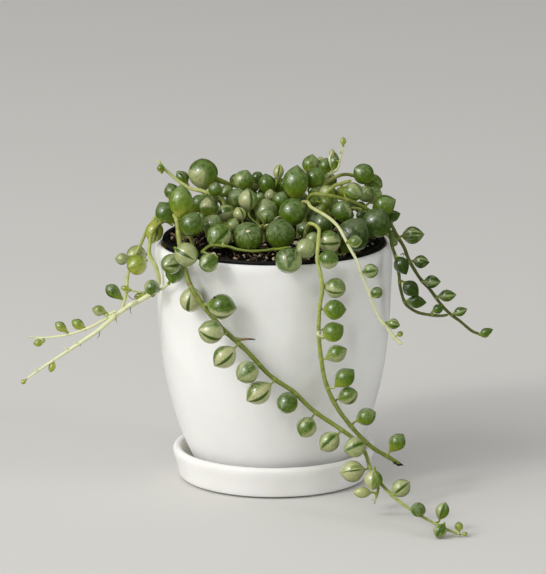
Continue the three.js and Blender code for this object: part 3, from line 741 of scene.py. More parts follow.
plant["left_stems"] = {
    "radius": 0.7,
    "thick": [(0.75, 0.7, 0.7, 0.42), (0.8, 0.75, 0.9, 1.1, 0.9, 0.45), (0.6, 0.65), (0.45, 0.4)],
    "tone": [(0.3, 0.15, 0.6, 0.95), (0.2, 0.15, 0.45, 0.9, 1), (0.5, 0.6), (0.4, 0.5)],
    "routes": """
    -36 6, -40 5 116, -46.5 3 118, -51 0 112, -54.5 -2 106.5, -57 -3 101, -60 -4 95.5, -62 -6 89.5,
    -62.5 -9 83.5, -63.5 -14 79, -65 -19 76, -68.5 -19.5 74.5, -72 -18 72.5, -77.5 -16 69, -85 -15 66,
    -91 -14 64.5, -98.5 -13 63.5, -104 -13 64
    -38 -3, -43 -6 113, -48 -9 112.5, -51.5 -13 109, -52.5 -16 104, -52.5 -18 101, -51 -19 98, -49.5 -20 95,
    -48.5 -20 90, -50 -20 86, -53.5 -19.5 83, -58.5 -19 80, -65 -19 76, -74 -22 69, -80 -23 65,
    -85.5 -24 61.5, -91 -25 58, -98 -26 53.5, -104.5 -27 49
    -52.5 -19.5 84, -47 -26.5 88, -44 -32.5 91.5
    -62.5 -9 83.5, -58.5 -8 82.5, -55 -7 82
    """,
    "pearls": """
    -45.8 -11.5 117.5 8.5, 120 - - -.1 .1 .4
    -49.7 -8 107.5 7.5, 260 - -20 .78 .1 .1, long 1.15
    -58.5 0 97 8.5, 185 40 180 .75 .5 .1 .35, cream 0 180
    -58 -12 95 8.5, 200 40 180 .72 .4 .1 0
    -64.5 -5 96 5, 180 - -10 .4 - - .4, wide .5, cream 0 180
    -68.5 -9 83 5.5, 140 - -60 -.02 .1, long 1.15, point .1, pull .9
    -63 -13 85 2.5, 170 - - .75 0, long 1.3, pull .5
    -57 -7 81 3, 190 - - .8 0, long 1.3, pull .9
    -74 -18 76.5 4.5, 165 - - .5 - - .5, cream -60 50, long 1.1
    -83 -14.5 69 4.5, 150 - - .6 .2, long 1.1, pull .5
    -90.5 -13.5 68.5 4, 140 - - .65 .2, long 1.2, pull .6
    -99.5 -13 62.5 3, 190 - - .7 0, long 1.25
    -42 -45 103 8.5, 200 50 -20 0 .8 - .4, cream -50 16, cream 0 14, cream 50 12
    -41 -36 97 8, 260 - - -.05 .4
    -51 -27 88.5 6.5, 90 20 - -.1 .2 - .7, cream -70 20, point .05, pull .08
    -94 -25 54 3, 250 - - .95 0, long 1.3
    -105 -27 48.5 2, 215 - - .95 0
    """,
    "sprigs": """
    -63.2 -19.3 77.6, -61.4 -20.9 79.2, -59.6 -21.1 80.4, -57.6 -20 81; thick .4 1 .95 .3; tone .9 1 .7
    -66.6 -17.5 76.3, -68.5 -17.8 75.4, -70.6 -17.8 74.7, -72 -18 74.4; thick .6 .85 .95 .8 .4;
      tone .8 .9 .7
    -61.5 -17 82.8, -60.6 -18 82, -59.7 -18.5 81.6, -57.2 -19.5 81.8; thick .16 .14 .07; dry 1.3
    -60.7 -20 78.3, -60.6 -21 76.9, -60.3 -21.2 75.8; thick .16 .14 .07; dry 1.3
    -73.4 -22 69, -73.8 -23 66.9, -74.6 -23 65.5; thick .16 .14 .07; dry 1.3
    -66.9 -20.5 74.9, -66.6 -21.6 73.4, -66.1 -22 71.9; thick .3 .18 .06; dry .3 .6
    -66.7 -21.2 74.1, -67.3 -22 72.8; thick .2 .06; dry .5
    -87 -24.4 61.2, -88.2 -24.8 62, -88.8 -25 62.5; thick .5 .36 .08; tone .9; dry 0 .3
    -82.4 -23.6 63.7, -84 -24.2 64.3, -84.8 -24.4 64.4; thick .5 .36 .08; tone .8; dry 0 .2
    -82.1 -23.6 63.4, -81.5 -24 62.5; thick .3 .1; dry .5 .7
    -99.6 -27 52.3, -100.8 -27.4 53.4, -101.5 -27.6 53.3; thick .5 .4 .1; tone .8 .5
    -100.2 -13 62.9, -102.3 -13 63.7, -104.6 -13 64; thick .45 .4 .12; tone .8 .9; dry 0 .2 .45
    """,
}
plant["left_back_spray"] = {
    "radius": 0.75,
    "thick": [(0.85, 0.8, 0.6)],
    "tone": [(0.1, 0.3, 0.4)],
    "routes": """
    -20 4, -21 5 114, -22 5 119.5, -29.5 8 122.5, -35.5 10 123.5, -40 11 126, -45.5 12 130.5, -47 12 132,
    -49.5 12 135.5
    """,
    "pearls": """
    -31 15 129 12.5, 95 10 180 .05 .2 .25 .6, cream -42 50 -1 .35, point .05
    -38.5 17 127 5.5, 130 - - .15 .1, point .4
    -47.5 11 132 3, 100 - - .3 0, long 1
    -25 3 124.5 6, 80 30 - 0 .4 .5
    -31.5 -2 119.5 7.5, 60 20 - .05 .3
    -30 -8 114.5 5.5
    """,
    "sprigs": """
    -38.9 14.6 127.9, -39.6 14 128.6, -40.5 13.2 129.7; thick .35 .3 .36 .1; dry .3 1.2 1.4
    -28 12 126.2, -25 13.5 127, -21.5 14.5 125.6, -17.5 15.5 123.6; thick .6 .95 .95 .7; tone -.2 -.1 -.3
    """,
}
plant["middle_back_spray"] = {
    "radius": 0.8,
    "thick": [(0.9, 0.7)],
    "tone": [(0.1, 0.1)],
    "routes": """
    -6 10, -8 13 115, -9.5 17 120.5, -14.5 20 122, -19.5 22 123, -26 23 124.5
    -8 13 115, -2 20 117.5, 5 23 118
    """,
    "pearls": """
    -13 15 126 8.5, 70 20 - .1 - .7 .35, cream -50 30 -.6 .6
    -16.5 24 124 5.5
    -7.5 24 124 5
    -20 14 121.5 5.5
    -3 18 124 7.5, 100 - - .05 .1 .4
    -15.5 6 120 8.5, - - - 0 .7 .9
    2 16 129.5 4.5, 80 - 0 .9, cream 0 180, long 1.25
    -5.5 8 120 4.5
    -1.5 6 121 5, 90, cream 0 100
    4 18 124 3.5
    -8.1 25 121.4 6
    1.3 25 120.5 6.5
    7.5 24 121 6
    -16 12 117.5 5.5
    """,
}
plant["right_back_spray"] = {
    "radius": 0.75,
    "thick": [(0.85, 0.85, 0.5, 0.3), (0.75, 0.7)],
    "tone": [(0.1, 0.3, 0.6), (0.3, 0.1)],
    "routes": """
    12 12, 14 13 116, 19.5 13 122.5, 21.5 12 127, 24.5 11 130, 27 10 132, 28.5 10 137, 29.5 10 142
    20.5 13 124.5, 26 14 127.5, 30.5 16 128.5, 35 17 127.5
    """,
    "pearls": """
    16 20 132 7.5, 80 - - .3 - .6 .35, cream 60 40
    22 17 132 6, 85 - - .05 - .5
    25.6 12 135.3 4.4, 80 - -20 .05 0 - .9, cream -58 20, long 1.35, point .4
    25 12 137.5 2.5, 90 - - .9, cream 0 120, long 1.5
    20 25 133 3
    17 6 127 8.5, 60 - - .02 .2 .4
    10 3 126.5 11, 85 5 120 .05 .1 .5, long 1.13
    24 20 125 6, - - - -.1
    29.5 10 142.5 2.5, 90 - - .9 0, long 1.2
    38.5 14 128.5 8.8, 150 30 - 0 .2 .5
    42 18 124.5 7.7, - - - .1 .3
    """,
    "sprigs": """
    28.7 10 138.7, 28.1 9.6 139.6, 28.2 9.6 140.5; thick .4 .45 .1; tone .6 .4
    24.5 11 133.2, 23.7 10.8 136, 24.3 10.9 138.7; thick .35 .55 .4 .1; tone .5 .7 .9
    """,
}
plant["right_spray"] = {
    "radius": 0.75,
    "thick": [(0.8, 0.8), (0.7, 0.6)],
    "tone": [(0, 0.2)],
    "routes": """
    22 2, 23 0 114, 21 -2 121, 25 1 126, 28.5 3 127, 33 5 128
    23 0 114, 31 5 116, 38 7 115
    """,
    "pearls": """
    22 5 124 7.5
    27.5 5 123 4.5
    15.5 2 119 6
    22 -5 120.5 5.5
    39 1 123 7, 170 40 - 0 .8 1 .15, cream -60 40
    42.5 12 120.5 7.5, - - - .05 - - .3, cream 60 40
    """,
}
plant["middle_spray"] = {
    "radius": 0.8,
    "thick": [(0.85, 0.6)],
    "tone": [(0.1, 0.3)],
    "routes": """
    -4 -8, -5 -10 110, -6 -16 112, -8 -22 110
    -5 -10 110, 2 -8 112, 8 -8 113
    -5 -10 110, -2 -3 110.5, 0 2 113
    """,
    "pearls": """
    -10.5 -6 121.5 8.5, 92 - 22 .1 .4 - .75, cream -32 46 -1 .9, cream 28 5
    -3.5 -4 116.5 10, 100 20 - 0 .9 1 .2, cream -70 40
    -3 -15 116.5 6.5, 90 75 0 .15 0, ripple 1
    3.5 2 121.5 7, - - - .05 .3
    8 -11 117 11.5, 20 30 160 0 .1 .4
    -10.5 -26 110 12.5, 110 62 110 -.05 .5 .6
    """,
    "sprigs": """
    -12.6 -33.2 113.2, -11.3 -34.3 114.1, -9.9 -34.8 114.5; thick .4 .62 .7 .55 .2; tone .9 .95 .9
    -4.2 -8 110.2, -2.1 -8 111.8, 0 -9 113.5, 2.4 -10 115.4; thick .8 .85 .9 .6; tone .5 .8 .8
    """,
}
plant["left_front_spray"] = {
    "radius": 0.8,
    "thick": [(0.85, 0.6)],
    "tone": [(0.1, 0.4)],
    "routes": """
    -17 -9, -19 -11 110, -21.5 -14 111.5
    -19 -11 110, -14 -15 112
    """,
    "pearls": """
    -28 -12 120 7, 95 - - .15 .3 .8 .7, cream -15 50 0 1.2
    -20.5 -8 116.5 7.5, 20 - -20 -.1 - - .35, wide 2.2, cream -10 120
    -14.5 -15 117.5 5.5, 110 - 30 .8, cream 0 130
    -17 -21 113.5 6, 70 - - .2 - - .3, cream 20 40
    -26 -20 114 8.5, 60 20 - 0 .7 .9 .2, cream -60 20
    """,
}
plant["soil_runner"] = {
    "radius": 0.8,
    "thick": [(0.7, 0.6, 0.55)],
    "tone": [(0, -0.1, 0.1)],
    "routes": """
    4 -33, 4 -35 107, 0 -39 107.5, -8.5 -40 107, -15 -39 107.5, -19 -38 108.5, -26 -38 109, -30 -43 107.5
    """,
    "pearls": """
    -28 -52 105 8, 210 40 - 0 .5 - .3, cream -60 12, cream 50 12
    6 -56 106.5 11, 265 50 160 -.15 .6 .6 .3, cream -68 26
    -22 -32 111.5 10.5, 230 30 -15 .1 .4 .8 .4, cream -52 26 -1 .6
    2.5 -30 111.5 12.5, 120 60 120 -.15 .4 .5
    """,
}
plant["right_front_spray"] = {
    "radius": 0.8,
    "thick": [(0.85, 0.6)],
    "tone": [(0, 0.2)],
    "routes": """
    24 -20, 25 -22 108, 25 -28 110, 22 -34 109
    25 -22 108, 19 -20 109
    """,
    "pearls": """
    32.5 -33 112 14, 60 10 100 -.55 .3 .4
    24 -39 111.5 9.5, 2 - 12 .05 .4 .5 .6, cream 24 50, point .06, pull .05
    13.5 -45 107.5 8.5, 200 40 200 .2 - - .35, cream 0 115
    16.5 -31 110 6.5, - - - -.1 - .9 .1, cream 0 50
    20.5 -22 115 8.5, - - - -.3
    13 -20 112 6.5, - - - -.3
    20 -12 119 4
    """,
}


def rowsOf(table):
    return re.sub(r"([,;])\n", r"\1", table.strip()).splitlines()


def numbers(text):
    return tuple(float(word) for word in text.split())


def pointsOf(text):
    return [numbers(point) for point in text.split(",")]


def pearl(x, y, z, size, **look):
    return {"x": x, "y": y, "z": z, "r": size / 2, "look": look}


def readPearl(row):
    place, *parts = row.split(",")
    columns, *words = parts or [""]
    look = {name: float(value) for name, value in zip(pearlColumns, columns.split()) if value != "-"}
    for name, values in (word.split(maxsplit=1) for word in words):
        if name == "cream":
            look[name] = (*look.get(name, ()), numbers(values))
        else:
            look[name] = float(values)
    return pearl(*numbers(place), **look)


def readSprig(row):
    line, *words = row.split(";")
    traits = (word.split(maxsplit=1) for word in words)
    return {"line": pointsOf(line), **{name: numbers(values) for name, values in traits}}


for stem in plant.values():
    stem["routes"] = [pointsOf(row) for row in rowsOf(stem["routes"])]
    stem["pearls"] = [readPearl(row) for row in rowsOf(stem["pearls"])]
    stem["sprigs"] = [readSprig(row) for row in rowsOf(stem.get("sprigs", ""))]

# The far side follows a rule: a stem stands at its bearing, bends outward and, where it has a drop,
# hangs down behind the pot; its pearls sit left and right of it in turn.
# Bearing, root's and crest's distance from the axis, drop, count of pearls, first and last one's size
farStems = {
    "far_stem_1": (38, 31, 46, 26, 9, 8.5, 4),
    "far_stem_2": (52, 23, 41, 0, 8, 9, 7),
    "far_stem_3": (72, 27, 46, 46, 11, 9, 4),
    "far_stem_4": (95, 18, 41, 0, 8, 9.5, 7.5),
    "far_stem_5": (118, 26, 47, 34, 8, 9, 4),
    "far_stem_6": (145, 23, 42, 0, 7, 9, 7),
}
far = {
    "radius": 0.8,
    "rise": 9,  # of a stem's crest over the mix
    "hang": 55,  # distance of a hanging stem from the pot's axis
    "bend": 10,  # height over which it turns down
    "below": 6,  # how far below the crest it turns, beside the bend
    "firstAt": 0.2,
    "lastAt": 0.98,
    "stalk": 1.4,
    "unevenness": 0.3,
    "seed": 7,
}

# Pearls are moved apart until they no longer press into each other, the stems, the mix or the pot.
# "skip" and "reach": nothing further off than this can touch a pearl.
settling = {
    "rounds": 40, "kin": 1.05, "others": 1.07, "air": 0.25, "gap": 0.3, "sample": 2.2,
    "skip": 17, "reach": 12,
}
tiny = 1e-9  # keeps a distance from being nought
guard = {"radius": 48.5, "height": 101.3, "thick": 3.2}  # a ring round both rims


# curves

def routePoints(route):
    if len(route[0]) == 2:
        risen = [(*route[0], rooting["top"] + step) for step in rooting["steps"]]
        route = risen + list(route[1:])
    return [np.array(point, float) for point in route]


# Point at share t of a smooth curve through the points, its ends run on straight
def pointAt(points, t):
    last = len(points) - 1
    i = min(int(last * t), last - 1)
    before = points[i - 1] if i > 0 else 2 * points[0] - points[1]
    after = points[i + 2] if i + 2 <= last else 2 * points[last] - points[last - 1]
    return between(before, points[i], points[i + 1], after, last * t - i)


def curveLength(points):
    line = [pointAt(points, i / 200) for i in range(201)]
    return sum(math.dist(a, b) for a, b in zip(line, line[1:]))


def unit(vector):
    return vector / np.linalg.norm(vector)


def heading(points, t, nudge=0.0001):
    return unit(pointAt(points, min(t + nudge, 1)) - pointAt(points, max(t - nudge, 0)))


# The same simple draw as in the part's source
def makeDraw(seed):
    state = [seed]

    def draw():
        state[0] = (state[0] * 1664525 + 1013904223) % 4294967296
        return state[0] / 4294967296

    return draw


def farRoute(bearing, root, reach, drop):
    angle, hang = math.radians(bearing), far["hang"]

    def at(radius, height, turn=0.0):
        return (*onCircle(radius, angle + turn), height)

    top = rooting["top"] + far["rise"]
    low = top - far["bend"] - far["below"]
    route = [at(root, 0)[:2], at(root + 2, top - 2, 0.05)]
    route += [at((root + reach) / 2, top + 1, 0.1), at(reach, top - 1)]
    if drop > 0:
        route += [at(hang - 1.5, low + far["bend"], -0.04), at(hang, low, -0.02)]
        route += [at(hang, low - drop / 2, 0.05), at(hang - 2, low - drop, 0.02)]
    return route


def farPearls(route, count, firstSize, lastSize, draw):
    points = routePoints(route)
    up = np.array((0.0, 0.0, 1.0))
    pearls = []
    for i in range(count):
        t = far["firstAt"] + (far["lastAt"] - far["firstAt"]) * (i + 0.5) / count
        ahead = heading(points, t)
        out = unit(np.array((ahead[0], ahead[1], 0.0001)))
        side = unit(np.cross(out, up)) * (1 if i % 2 else -1)
        lean = unit(side + (out if ahead[2] < -0.6 else up) * (1.5 if i % 3 == 2 else 0.25))
        size = (firstSize + (lastSize - firstSize) * t) * (1 + far["unevenness"] * (draw() - 0.5))
        middle = pointAt(points, t) + lean * (size / 2 + far["radius"] + far["stalk"] * draw())
        pearls.append(pearl(*middle, size))
    return pearls


def addFarStems():
    draw = makeDraw(far["seed"])
    for name, (bearing, root, reach, drop, *rest) in farStems.items():
        route = farRoute(bearing, root, reach, drop)
        plant[name] = {
            "radius": far["radius"], "thick": [(0.85, 0.8, 0.5)], "tone": [(0, 0.1, 0.4)],
            "routes": [route], "pearls": farPearls(route, *rest, draw),
        }


# settling

def wallRadius(height):
    wall = pot["outside"]
    for (r0, z0), (r1, z1) in zip(wall, wall[1:]):
        if height <= z1:
            return r0 + (r1 - r0) * max(0, height - z0) / (z1 - z0)
    return wall[-1][0]


def pushFrom(ball, point, distance):
    away = [ball[axis] - value for axis, value in zip("xyz", point)]
    now = math.sqrt(sum(d * d for d in away)) + tiny
    if now < distance:
        for axis, d in zip("xyz", away):
            ball[axis] += d * (distance - now) / now


# Keeps a pearl out of the mix, off the lip and outside the pot's wall
def keepClear(ball):
    away = math.sqrt(ball["x"] ** 2 + ball["y"] ** 2) + tiny
    size = ball["r"] * settling["others"] + settling["gap"]
    if ball["z"] > pot["rimTop"]:
        if away < liner["lipInner"]:
            ball["z"] = max(ball["z"], mix["top"] + mix["mound"] + size)
        ring = guard["radius"] / away
        pushFrom(ball, (ball["x"] * ring, ball["y"] * ring, guard["height"]), size + guard["thick"])
    else:
        least = wallRadius(ball["z"]) + size
        if away < least:
            ball["x"] *= least / away
            ball["y"] *= least / away
        ball["z"] = max(ball["z"], size)


def settle():
    balls, strands = [], []
    for name, stem in plant.items():
        for ball in stem["pearls"]:
            ball["name"] = name
            balls.append(ball)
        for route in stem["routes"]:
            points = routePoints(route)
            count = math.floor(curveLength(points) / settling["sample"] + 0.5)
            strands += [(name, stem["radius"], pointAt(points, i / count)) for i in range(count + 1)]
    places = np.array([point for _, _, point in strands])
    skip, reach = settling["skip"], settling["reach"]
    for _ in range(settling["rounds"]):
        for i, a in enumerate(balls):
            here = np.array((a["x"], a["y"], a["z"]))
            for b in balls[i + 1:]:
                if abs(a["x"] - b["x"]) > skip or abs(a["y"] - b["y"]) > skip:
                    continue
                kin = a["name"] == b["name"]
                spread, air = (settling["kin"], 0) if kin else (settling["others"], settling["air"])
                apart = (a["r"] + b["r"]) * spread + air
                away = [b[axis] - a[axis] for axis in "xyz"]
                now = math.sqrt(sum(d * d for d in away)) + tiny
                if now < apart:
                    for axis, d in zip("xyz", away):
                        a[axis] -= d * 0.5 * (apart - now) / now
                        b[axis] += d * 0.5 * (apart - now) / now
            for k in np.nonzero(((places - here) ** 2).sum(1) < reach**2)[0]:
                name, radius, point = strands[k]
                room = a["r"] * settling["others"] + radius + (0 if name == a["name"] else settling["air"])
                pushFrom(a, point, room)
            keepClear(a)


addFarStems()
settle()
print("pearls settled:", sum(len(stem["pearls"]) for stem in plant.values()))


# Leaf and stem meshes are gathered piece by piece, with what their finishes need at each corner.

attributes = ("creamEdge", "windowEdge", "tone", "milk", "frost", "marble", "ripple", "seed", "neck", "dry")


class Growth:
    def __init__(self):
        self.corners, self.faces, self.finish, self.local = [], [], [], []
        self.values = {name: [] for name in attributes}
        self.count = 0

    # rings and local: arrays (rings, sides, 3); the first and the last ring are closed by a face each
    def addRings(self, rings, finish, local, **values):
        count, sides = rings.shape[:2]
        first = self.count
        self.corners.append(rings.reshape(-1, 3))
        self.local.append(local.reshape(-1, 3))
        for name in attributes:
            value = values.get(name, 0.0)
            self.values[name].append(np.broadcast_to(value, (count, sides)).reshape(-1))
        index = first + np.arange(count * sides).reshape(count, sides)
        a, b = index[:-1], index[1:]
        quads = np.stack([a, np.roll(a, -1, 1), np.roll(b, -1, 1), b], -1).reshape(-1, 4)
        self.faces += quads.tolist()
        self.faces.append(index[0][::-1].tolist())
        self.faces.append(index[-1].tolist())
        self.finish += [finish] * (len(quads) + 2)
        self.count += count * sides

    def mesh(self, name, materials):
        mesh = newMesh(name, (np.concatenate(self.corners) * mm).tolist(), self.faces, *materials)
        mesh.polygons.foreach_set("material_index", self.finish)
        for key in attributes:
            layer = mesh.attributes.new(key, "FLOAT", "POINT")
            layer.data.foreach_set("value", np.concatenate(self.values[key]).astype(np.float32))
        layer = mesh.attributes.new("pearlPoint", "FLOAT_VECTOR", "POINT")
        layer.data.foreach_set("vector", np.concatenate(self.local).astype(np.float32).reshape(-1))
        return mesh


def smooth(low, high, value):
    share = np.clip((value - low) / (high - low), 0, 1)
    return share * share * (3 - 2 * share)


# Angle differences brought into half a turn either way
def wrapped(angle):
    return (angle + math.pi) % math.tau - math.pi


# Values spaced evenly along a route, such as a stem's thickness from root to tip
def along(values, share):
    return np.interp(share, np.linspace(0, 1, len(values)), values)


# Directions at these angles round the axis that the two are square to
def allRound(angles, ahead, side):
    return np.outer(np.cos(angles), ahead) + np.outer(np.sin(angles), side)


# stems

def stemLine(points, step=0.55):
    count = max(6, int(curveLength(points) / step))
    return np.array([pointAt(points, i / count) for i in range(count + 1)])


# Tube rings along a line, without twist
def tubeRings(line, radii, sides):
    ahead = np.gradient(line, axis=0)
    ahead /= np.linalg.norm(ahead, axis=1)[:, None]
    side = np.cross(ahead[0], (0.3, 0.2, 1.0))
    angles = math.tau * np.arange(sides) / sides
    rings = []
    for point, forward, radius in zip(line, ahead, radii):
        side = unit(side - forward * side.dot(forward))
        rings.append(point + radius * allRound(angles, side, np.cross(forward, side)))
    return np.array(rings)


stemLook = {
    "sides": 12,
    "swell": 0.13,  # of the radius, where a leaf joins
    "swellLength": 1.1,
    "waves": ((0.035, 0.9), (0.02, 2.3)),
    "tipLength": 1.4,
    "scarDryness": 0.65,
    "sprigSides": 10,
    "sprigStep": 0.22,
}


def addStem(growth, line, thick, tone, feet, scars, draw):
    share = np.linspace(0, 1, len(line))
    length = np.concatenate([[0], np.cumsum(np.linalg.norm(np.diff(line, axis=0), axis=1))])
    swell, dry = np.zeros(len(line)), np.zeros(len(line))
    for foot in feet:
        near = np.linalg.norm(line - foot, axis=1)
        swell = np.maximum(swell, np.exp(-((near / stemLook["swellLength"]) ** 2)))
    for *middle, size in scars:
        near = np.linalg.norm(line - middle, axis=1)
        dry = np.maximum(dry, stemLook["scarDryness"] * (1 - smooth(0.2 * size, size, near)))
    radii = 1 + stemLook["swell"] * swell
    for high, often in stemLook["waves"]:
        radii += high * np.sin(length * often + draw.uniform(0, 6))
    toTip = np.clip((length[-1] - length) / stemLook["tipLength"], 0.02, 1)
    radii *= along(thick, share) * np.sqrt(1 - (1 - toTip) ** 2)
    rings = tubeRings(line, radii, stemLook["sides"])
    growth.addRings(
        rings, 1, local=rings, tone=along(tone, share)[:, None], neck=swell[:, None],
        dry=dry[:, None], seed=draw.random(),
    )


# pearls

pearlLook = {
    "sides": 40,
    "rings": 34,
    "stalkRings": 9,
    "stalk": 0.42,  # radius
    "flare": (0.9, 0.7),  # how much wider it starts, and over what length
    "bend": (0.45, 0.5, 0.7),  # where it turns: of its length from the stem and the pearl, and in radii
    "ends": 0.42 * math.pi,  # how far round from either end the tip and the base are drawn out
    # what a pearl has where its row doesn't say: with a tip or a tone, and without
    "placed": {"cream": (), "long": 0.98, "point": 0.22, "pull": 0.25, "milk": 0.6},
    "drawn": {
        "marble": (0.0, 0.8), "frost": (0.1, 0.9), "milk": (0.1, 0.8), "long": (0.96, 1.02),
        "point": (0.05, 0.25), "pull": (0.05, 0.3),
    },
    "window": (0.15, 0.12, 0.98),  # half width, start and end from the stalk to the tip
    "groove": 0.03,
    "dent": 0.014,
}


def nearestPoint(lines, target):
    near = (line[np.linalg.norm(line - target, axis=1).argmin()] for line in lines)
    return min(near, key=lambda point: np.linalg.norm(point - target))


def tipDirection(look, away):
    if "tip" not in look:
        return unit(away)
    turn, lean = math.radians(look["tip"]), math.radians(look.get("toward", 0))
    flat = math.cos(turn) * picture["right"] + math.sin(turn) * picture["up"]
    return unit(math.cos(lean) * flat + math.sin(lean) * picture["viewer"])


# The rest of a pearl's look is drawn; an open window turns to the sky
def randomLook(look, facing, side, draw):
    skyward = math.degrees(math.atan2(side[2], facing[2]))
    drawn = {
        "window": skyward + draw.gauss(0, 25),
        "cream": ((draw.uniform(-180, 180), draw.uniform(15, 80)),) if draw.random() < 0.4 else (),
        "tone": draw.gauss(0.08, 0.2),
    }
    for name, (low, high) in pearlLook["drawn"].items():
        drawn[name] = draw.uniform(low, high)
    drawn.update(wide=0.6, ripple=0.0)
    if "tip" in look or "tone" in look:
        drawn.update(pearlLook["placed"], wide=1.0 if "window" in look else 0.6)
    return {**drawn, **look}


def addPearl(growth, ball, lines, draw):
    middle = np.array((ball["x"], ball["y"], ball["z"]))
    r = ball["r"]
    axis = tipDirection(ball["look"], middle - nearestPoint(lines, middle))
    facing = unit(picture["viewer"] - axis * picture["viewer"].dot(axis))
    side = np.cross(axis, facing)
    look = randomLook(ball["look"], facing, side, draw)
    base = middle - axis * r * (1 + look["pull"]) * look["long"]
    foot = nearestPoint(lines, base)

    # the stalk: a bent thread from the stem to the base, then the pearl in one run of rings
    steps = np.linspace(0, 1, pearlLook["stalkRings"])[:-1, None]
    back = 1 - steps
    reach = np.linalg.norm(base - foot)
    fromStem, fromPearl, atMost = pearlLook["bend"]
    lift = foot + (base - foot) * fromStem
    turnIn = base - axis * min(reach * fromPearl, atMost * r)
    stalkLine = back**3 * foot + 3 * back**2 * steps * lift
    stalkLine += 3 * back * steps**2 * turnIn + steps**3 * base
    stalkRadius = min(pearlLook["stalk"], 0.2 * r)
    more, flareLength = pearlLook["flare"]
    flare = 1 + more * np.exp(-((steps[:, 0] * reach / flareLength) ** 2))
    angles = math.tau * (np.arange(pearlLook["sides"]) + 0.5) / pearlLook["sides"]
    stalk = []
    ahead = np.gradient(np.vstack([stalkLine, base[None]]), axis=0)[:-1]
    for point, forward, wide in zip(stalkLine, ahead, flare * stalkRadius):
        forward = unit(forward)
        across = unit(facing - forward * facing.dot(forward))
        stalk.append(point + wide * allRound(angles, across, np.cross(forward, across)))

    polar = np.linspace(0, math.pi, pearlLook["rings"])[:, None]
    low, girth = -np.cos(polar), np.sin(polar)
    fromBase, toTip = (np.clip(1 - end / pearlLook["ends"], 0, 1) for end in (polar, math.pi - polar))
    tipBend, baseBend = (max(2.2, 4.2 - 4 * look[end]) for end in ("point", "pull"))
    height = (look["point"] * toTip**tipBend - look["pull"] * fromBase**baseBend + low) * look["long"]
    width = np.sqrt(girth**2 + (stalkRadius / r * smooth(0.36 * math.pi, 0, polar)) ** 2)
    width[-1] = 0.004
    lobes = np.sin(2 * angles + draw.uniform(0, 6))
    lobes = lobes + 0.7 * np.sin(3 * angles + 2 * polar + draw.uniform(0, 6))
    halfWidth, start, end = pearlLook["window"]
    around = angles - math.radians(look["window"])
    opened = np.sin(np.clip((polar / math.pi - start) / (end - start), 0, 1) * math.pi)
    edge = look["wide"] * halfWidth * opened - np.abs(wrapped(around)) * girth
    groove = pearlLook["groove"] * smooth(-0.04, 0.12, edge) * girth
    spread = (width * (1 + pearlLook["dent"] * lobes * girth) - groove)[..., None] * r
    body = middle + axis * (height * r)[..., None] + spread * allRound(angles, facing, side)

    # what the finish reads: where on the pearl, and how far inside a cream patch or the window
    cream = np.full(edge.shape, -3.0)
    for turn, half, *bounds in look["cream"]:
        patch = (math.radians(half) - np.abs(wrapped(angles - math.radians(turn)))) * girth**0.8
        if bounds:
            patch = np.minimum(patch, 1.3 * np.minimum(low - bounds[0], bounds[1] - low))
        cream = np.maximum(cream, patch)
    local = np.stack(np.broadcast_arrays(np.cos(around) * girth, np.sin(around) * girth, low), -1)
    n = len(stalk)
    lead = np.full((n, len(angles)), -1.0)
    growth.addRings(
        np.concatenate([stalk, body]), 0,
        local=np.concatenate([np.broadcast_to((0, 0, -1.0), (n, len(angles), 3)), local]),
        creamEdge=np.concatenate([lead, cream]), windowEdge=np.concatenate([lead, edge]),
        neck=np.concatenate([np.ones((n, 1)), 1 - smooth(0.05, 0.5, polar)]), seed=draw.random(),
        **{name: look[name] for name in ("tone", "marble", "milk", "frost", "ripple")},
    )
    return foot


# A twig, root hair, bract or dry tip: thickness, tone and dryness run along it
def addSprig(growth, sprig, draw):
    line = stemLine([np.array(point) for point in sprig["line"]], stemLook["sprigStep"])
    share = np.linspace(0, 1, len(line))
    (rough,) = sprig.get("rough", (0,))
    radii = along(sprig["thick"], share) * [1 + rough * draw.uniform(-1, 1) for _ in line]
    rings = tubeRings(line, radii, stemLook["sprigSides"])
    growth.addRings(
        rings, 1, local=rings, dry=along(sprig.get("dry", (0,)), share)[:, None],
        tone=along(sprig.get("tone", (0.3,)), share)[:, None], seed=draw.random(),
    )


# finishes of the plant

pearlColors = {
    "olive": (0.019, 0.032, 0.001),
    "dark": (0.030, 0.068, 0.002),
    "mid": (0.080, 0.160, 0.003),
    "fresh": (0.190, 0.285, 0.008),
    "yellow": (0.430, 0.460, 0.055),
    "cream": (0.570, 0.560, 0.290),
    "pale": (0.275, 0.355, 0.130),
    "window": (0.040, 0.100, 0.002),
    "tip": (0.030, 0.026, 0.008),
    # the silvery mottling's colour, also painted on as sheen where the light falls
    "frost": (0.290, 0.365, 0.185),
}


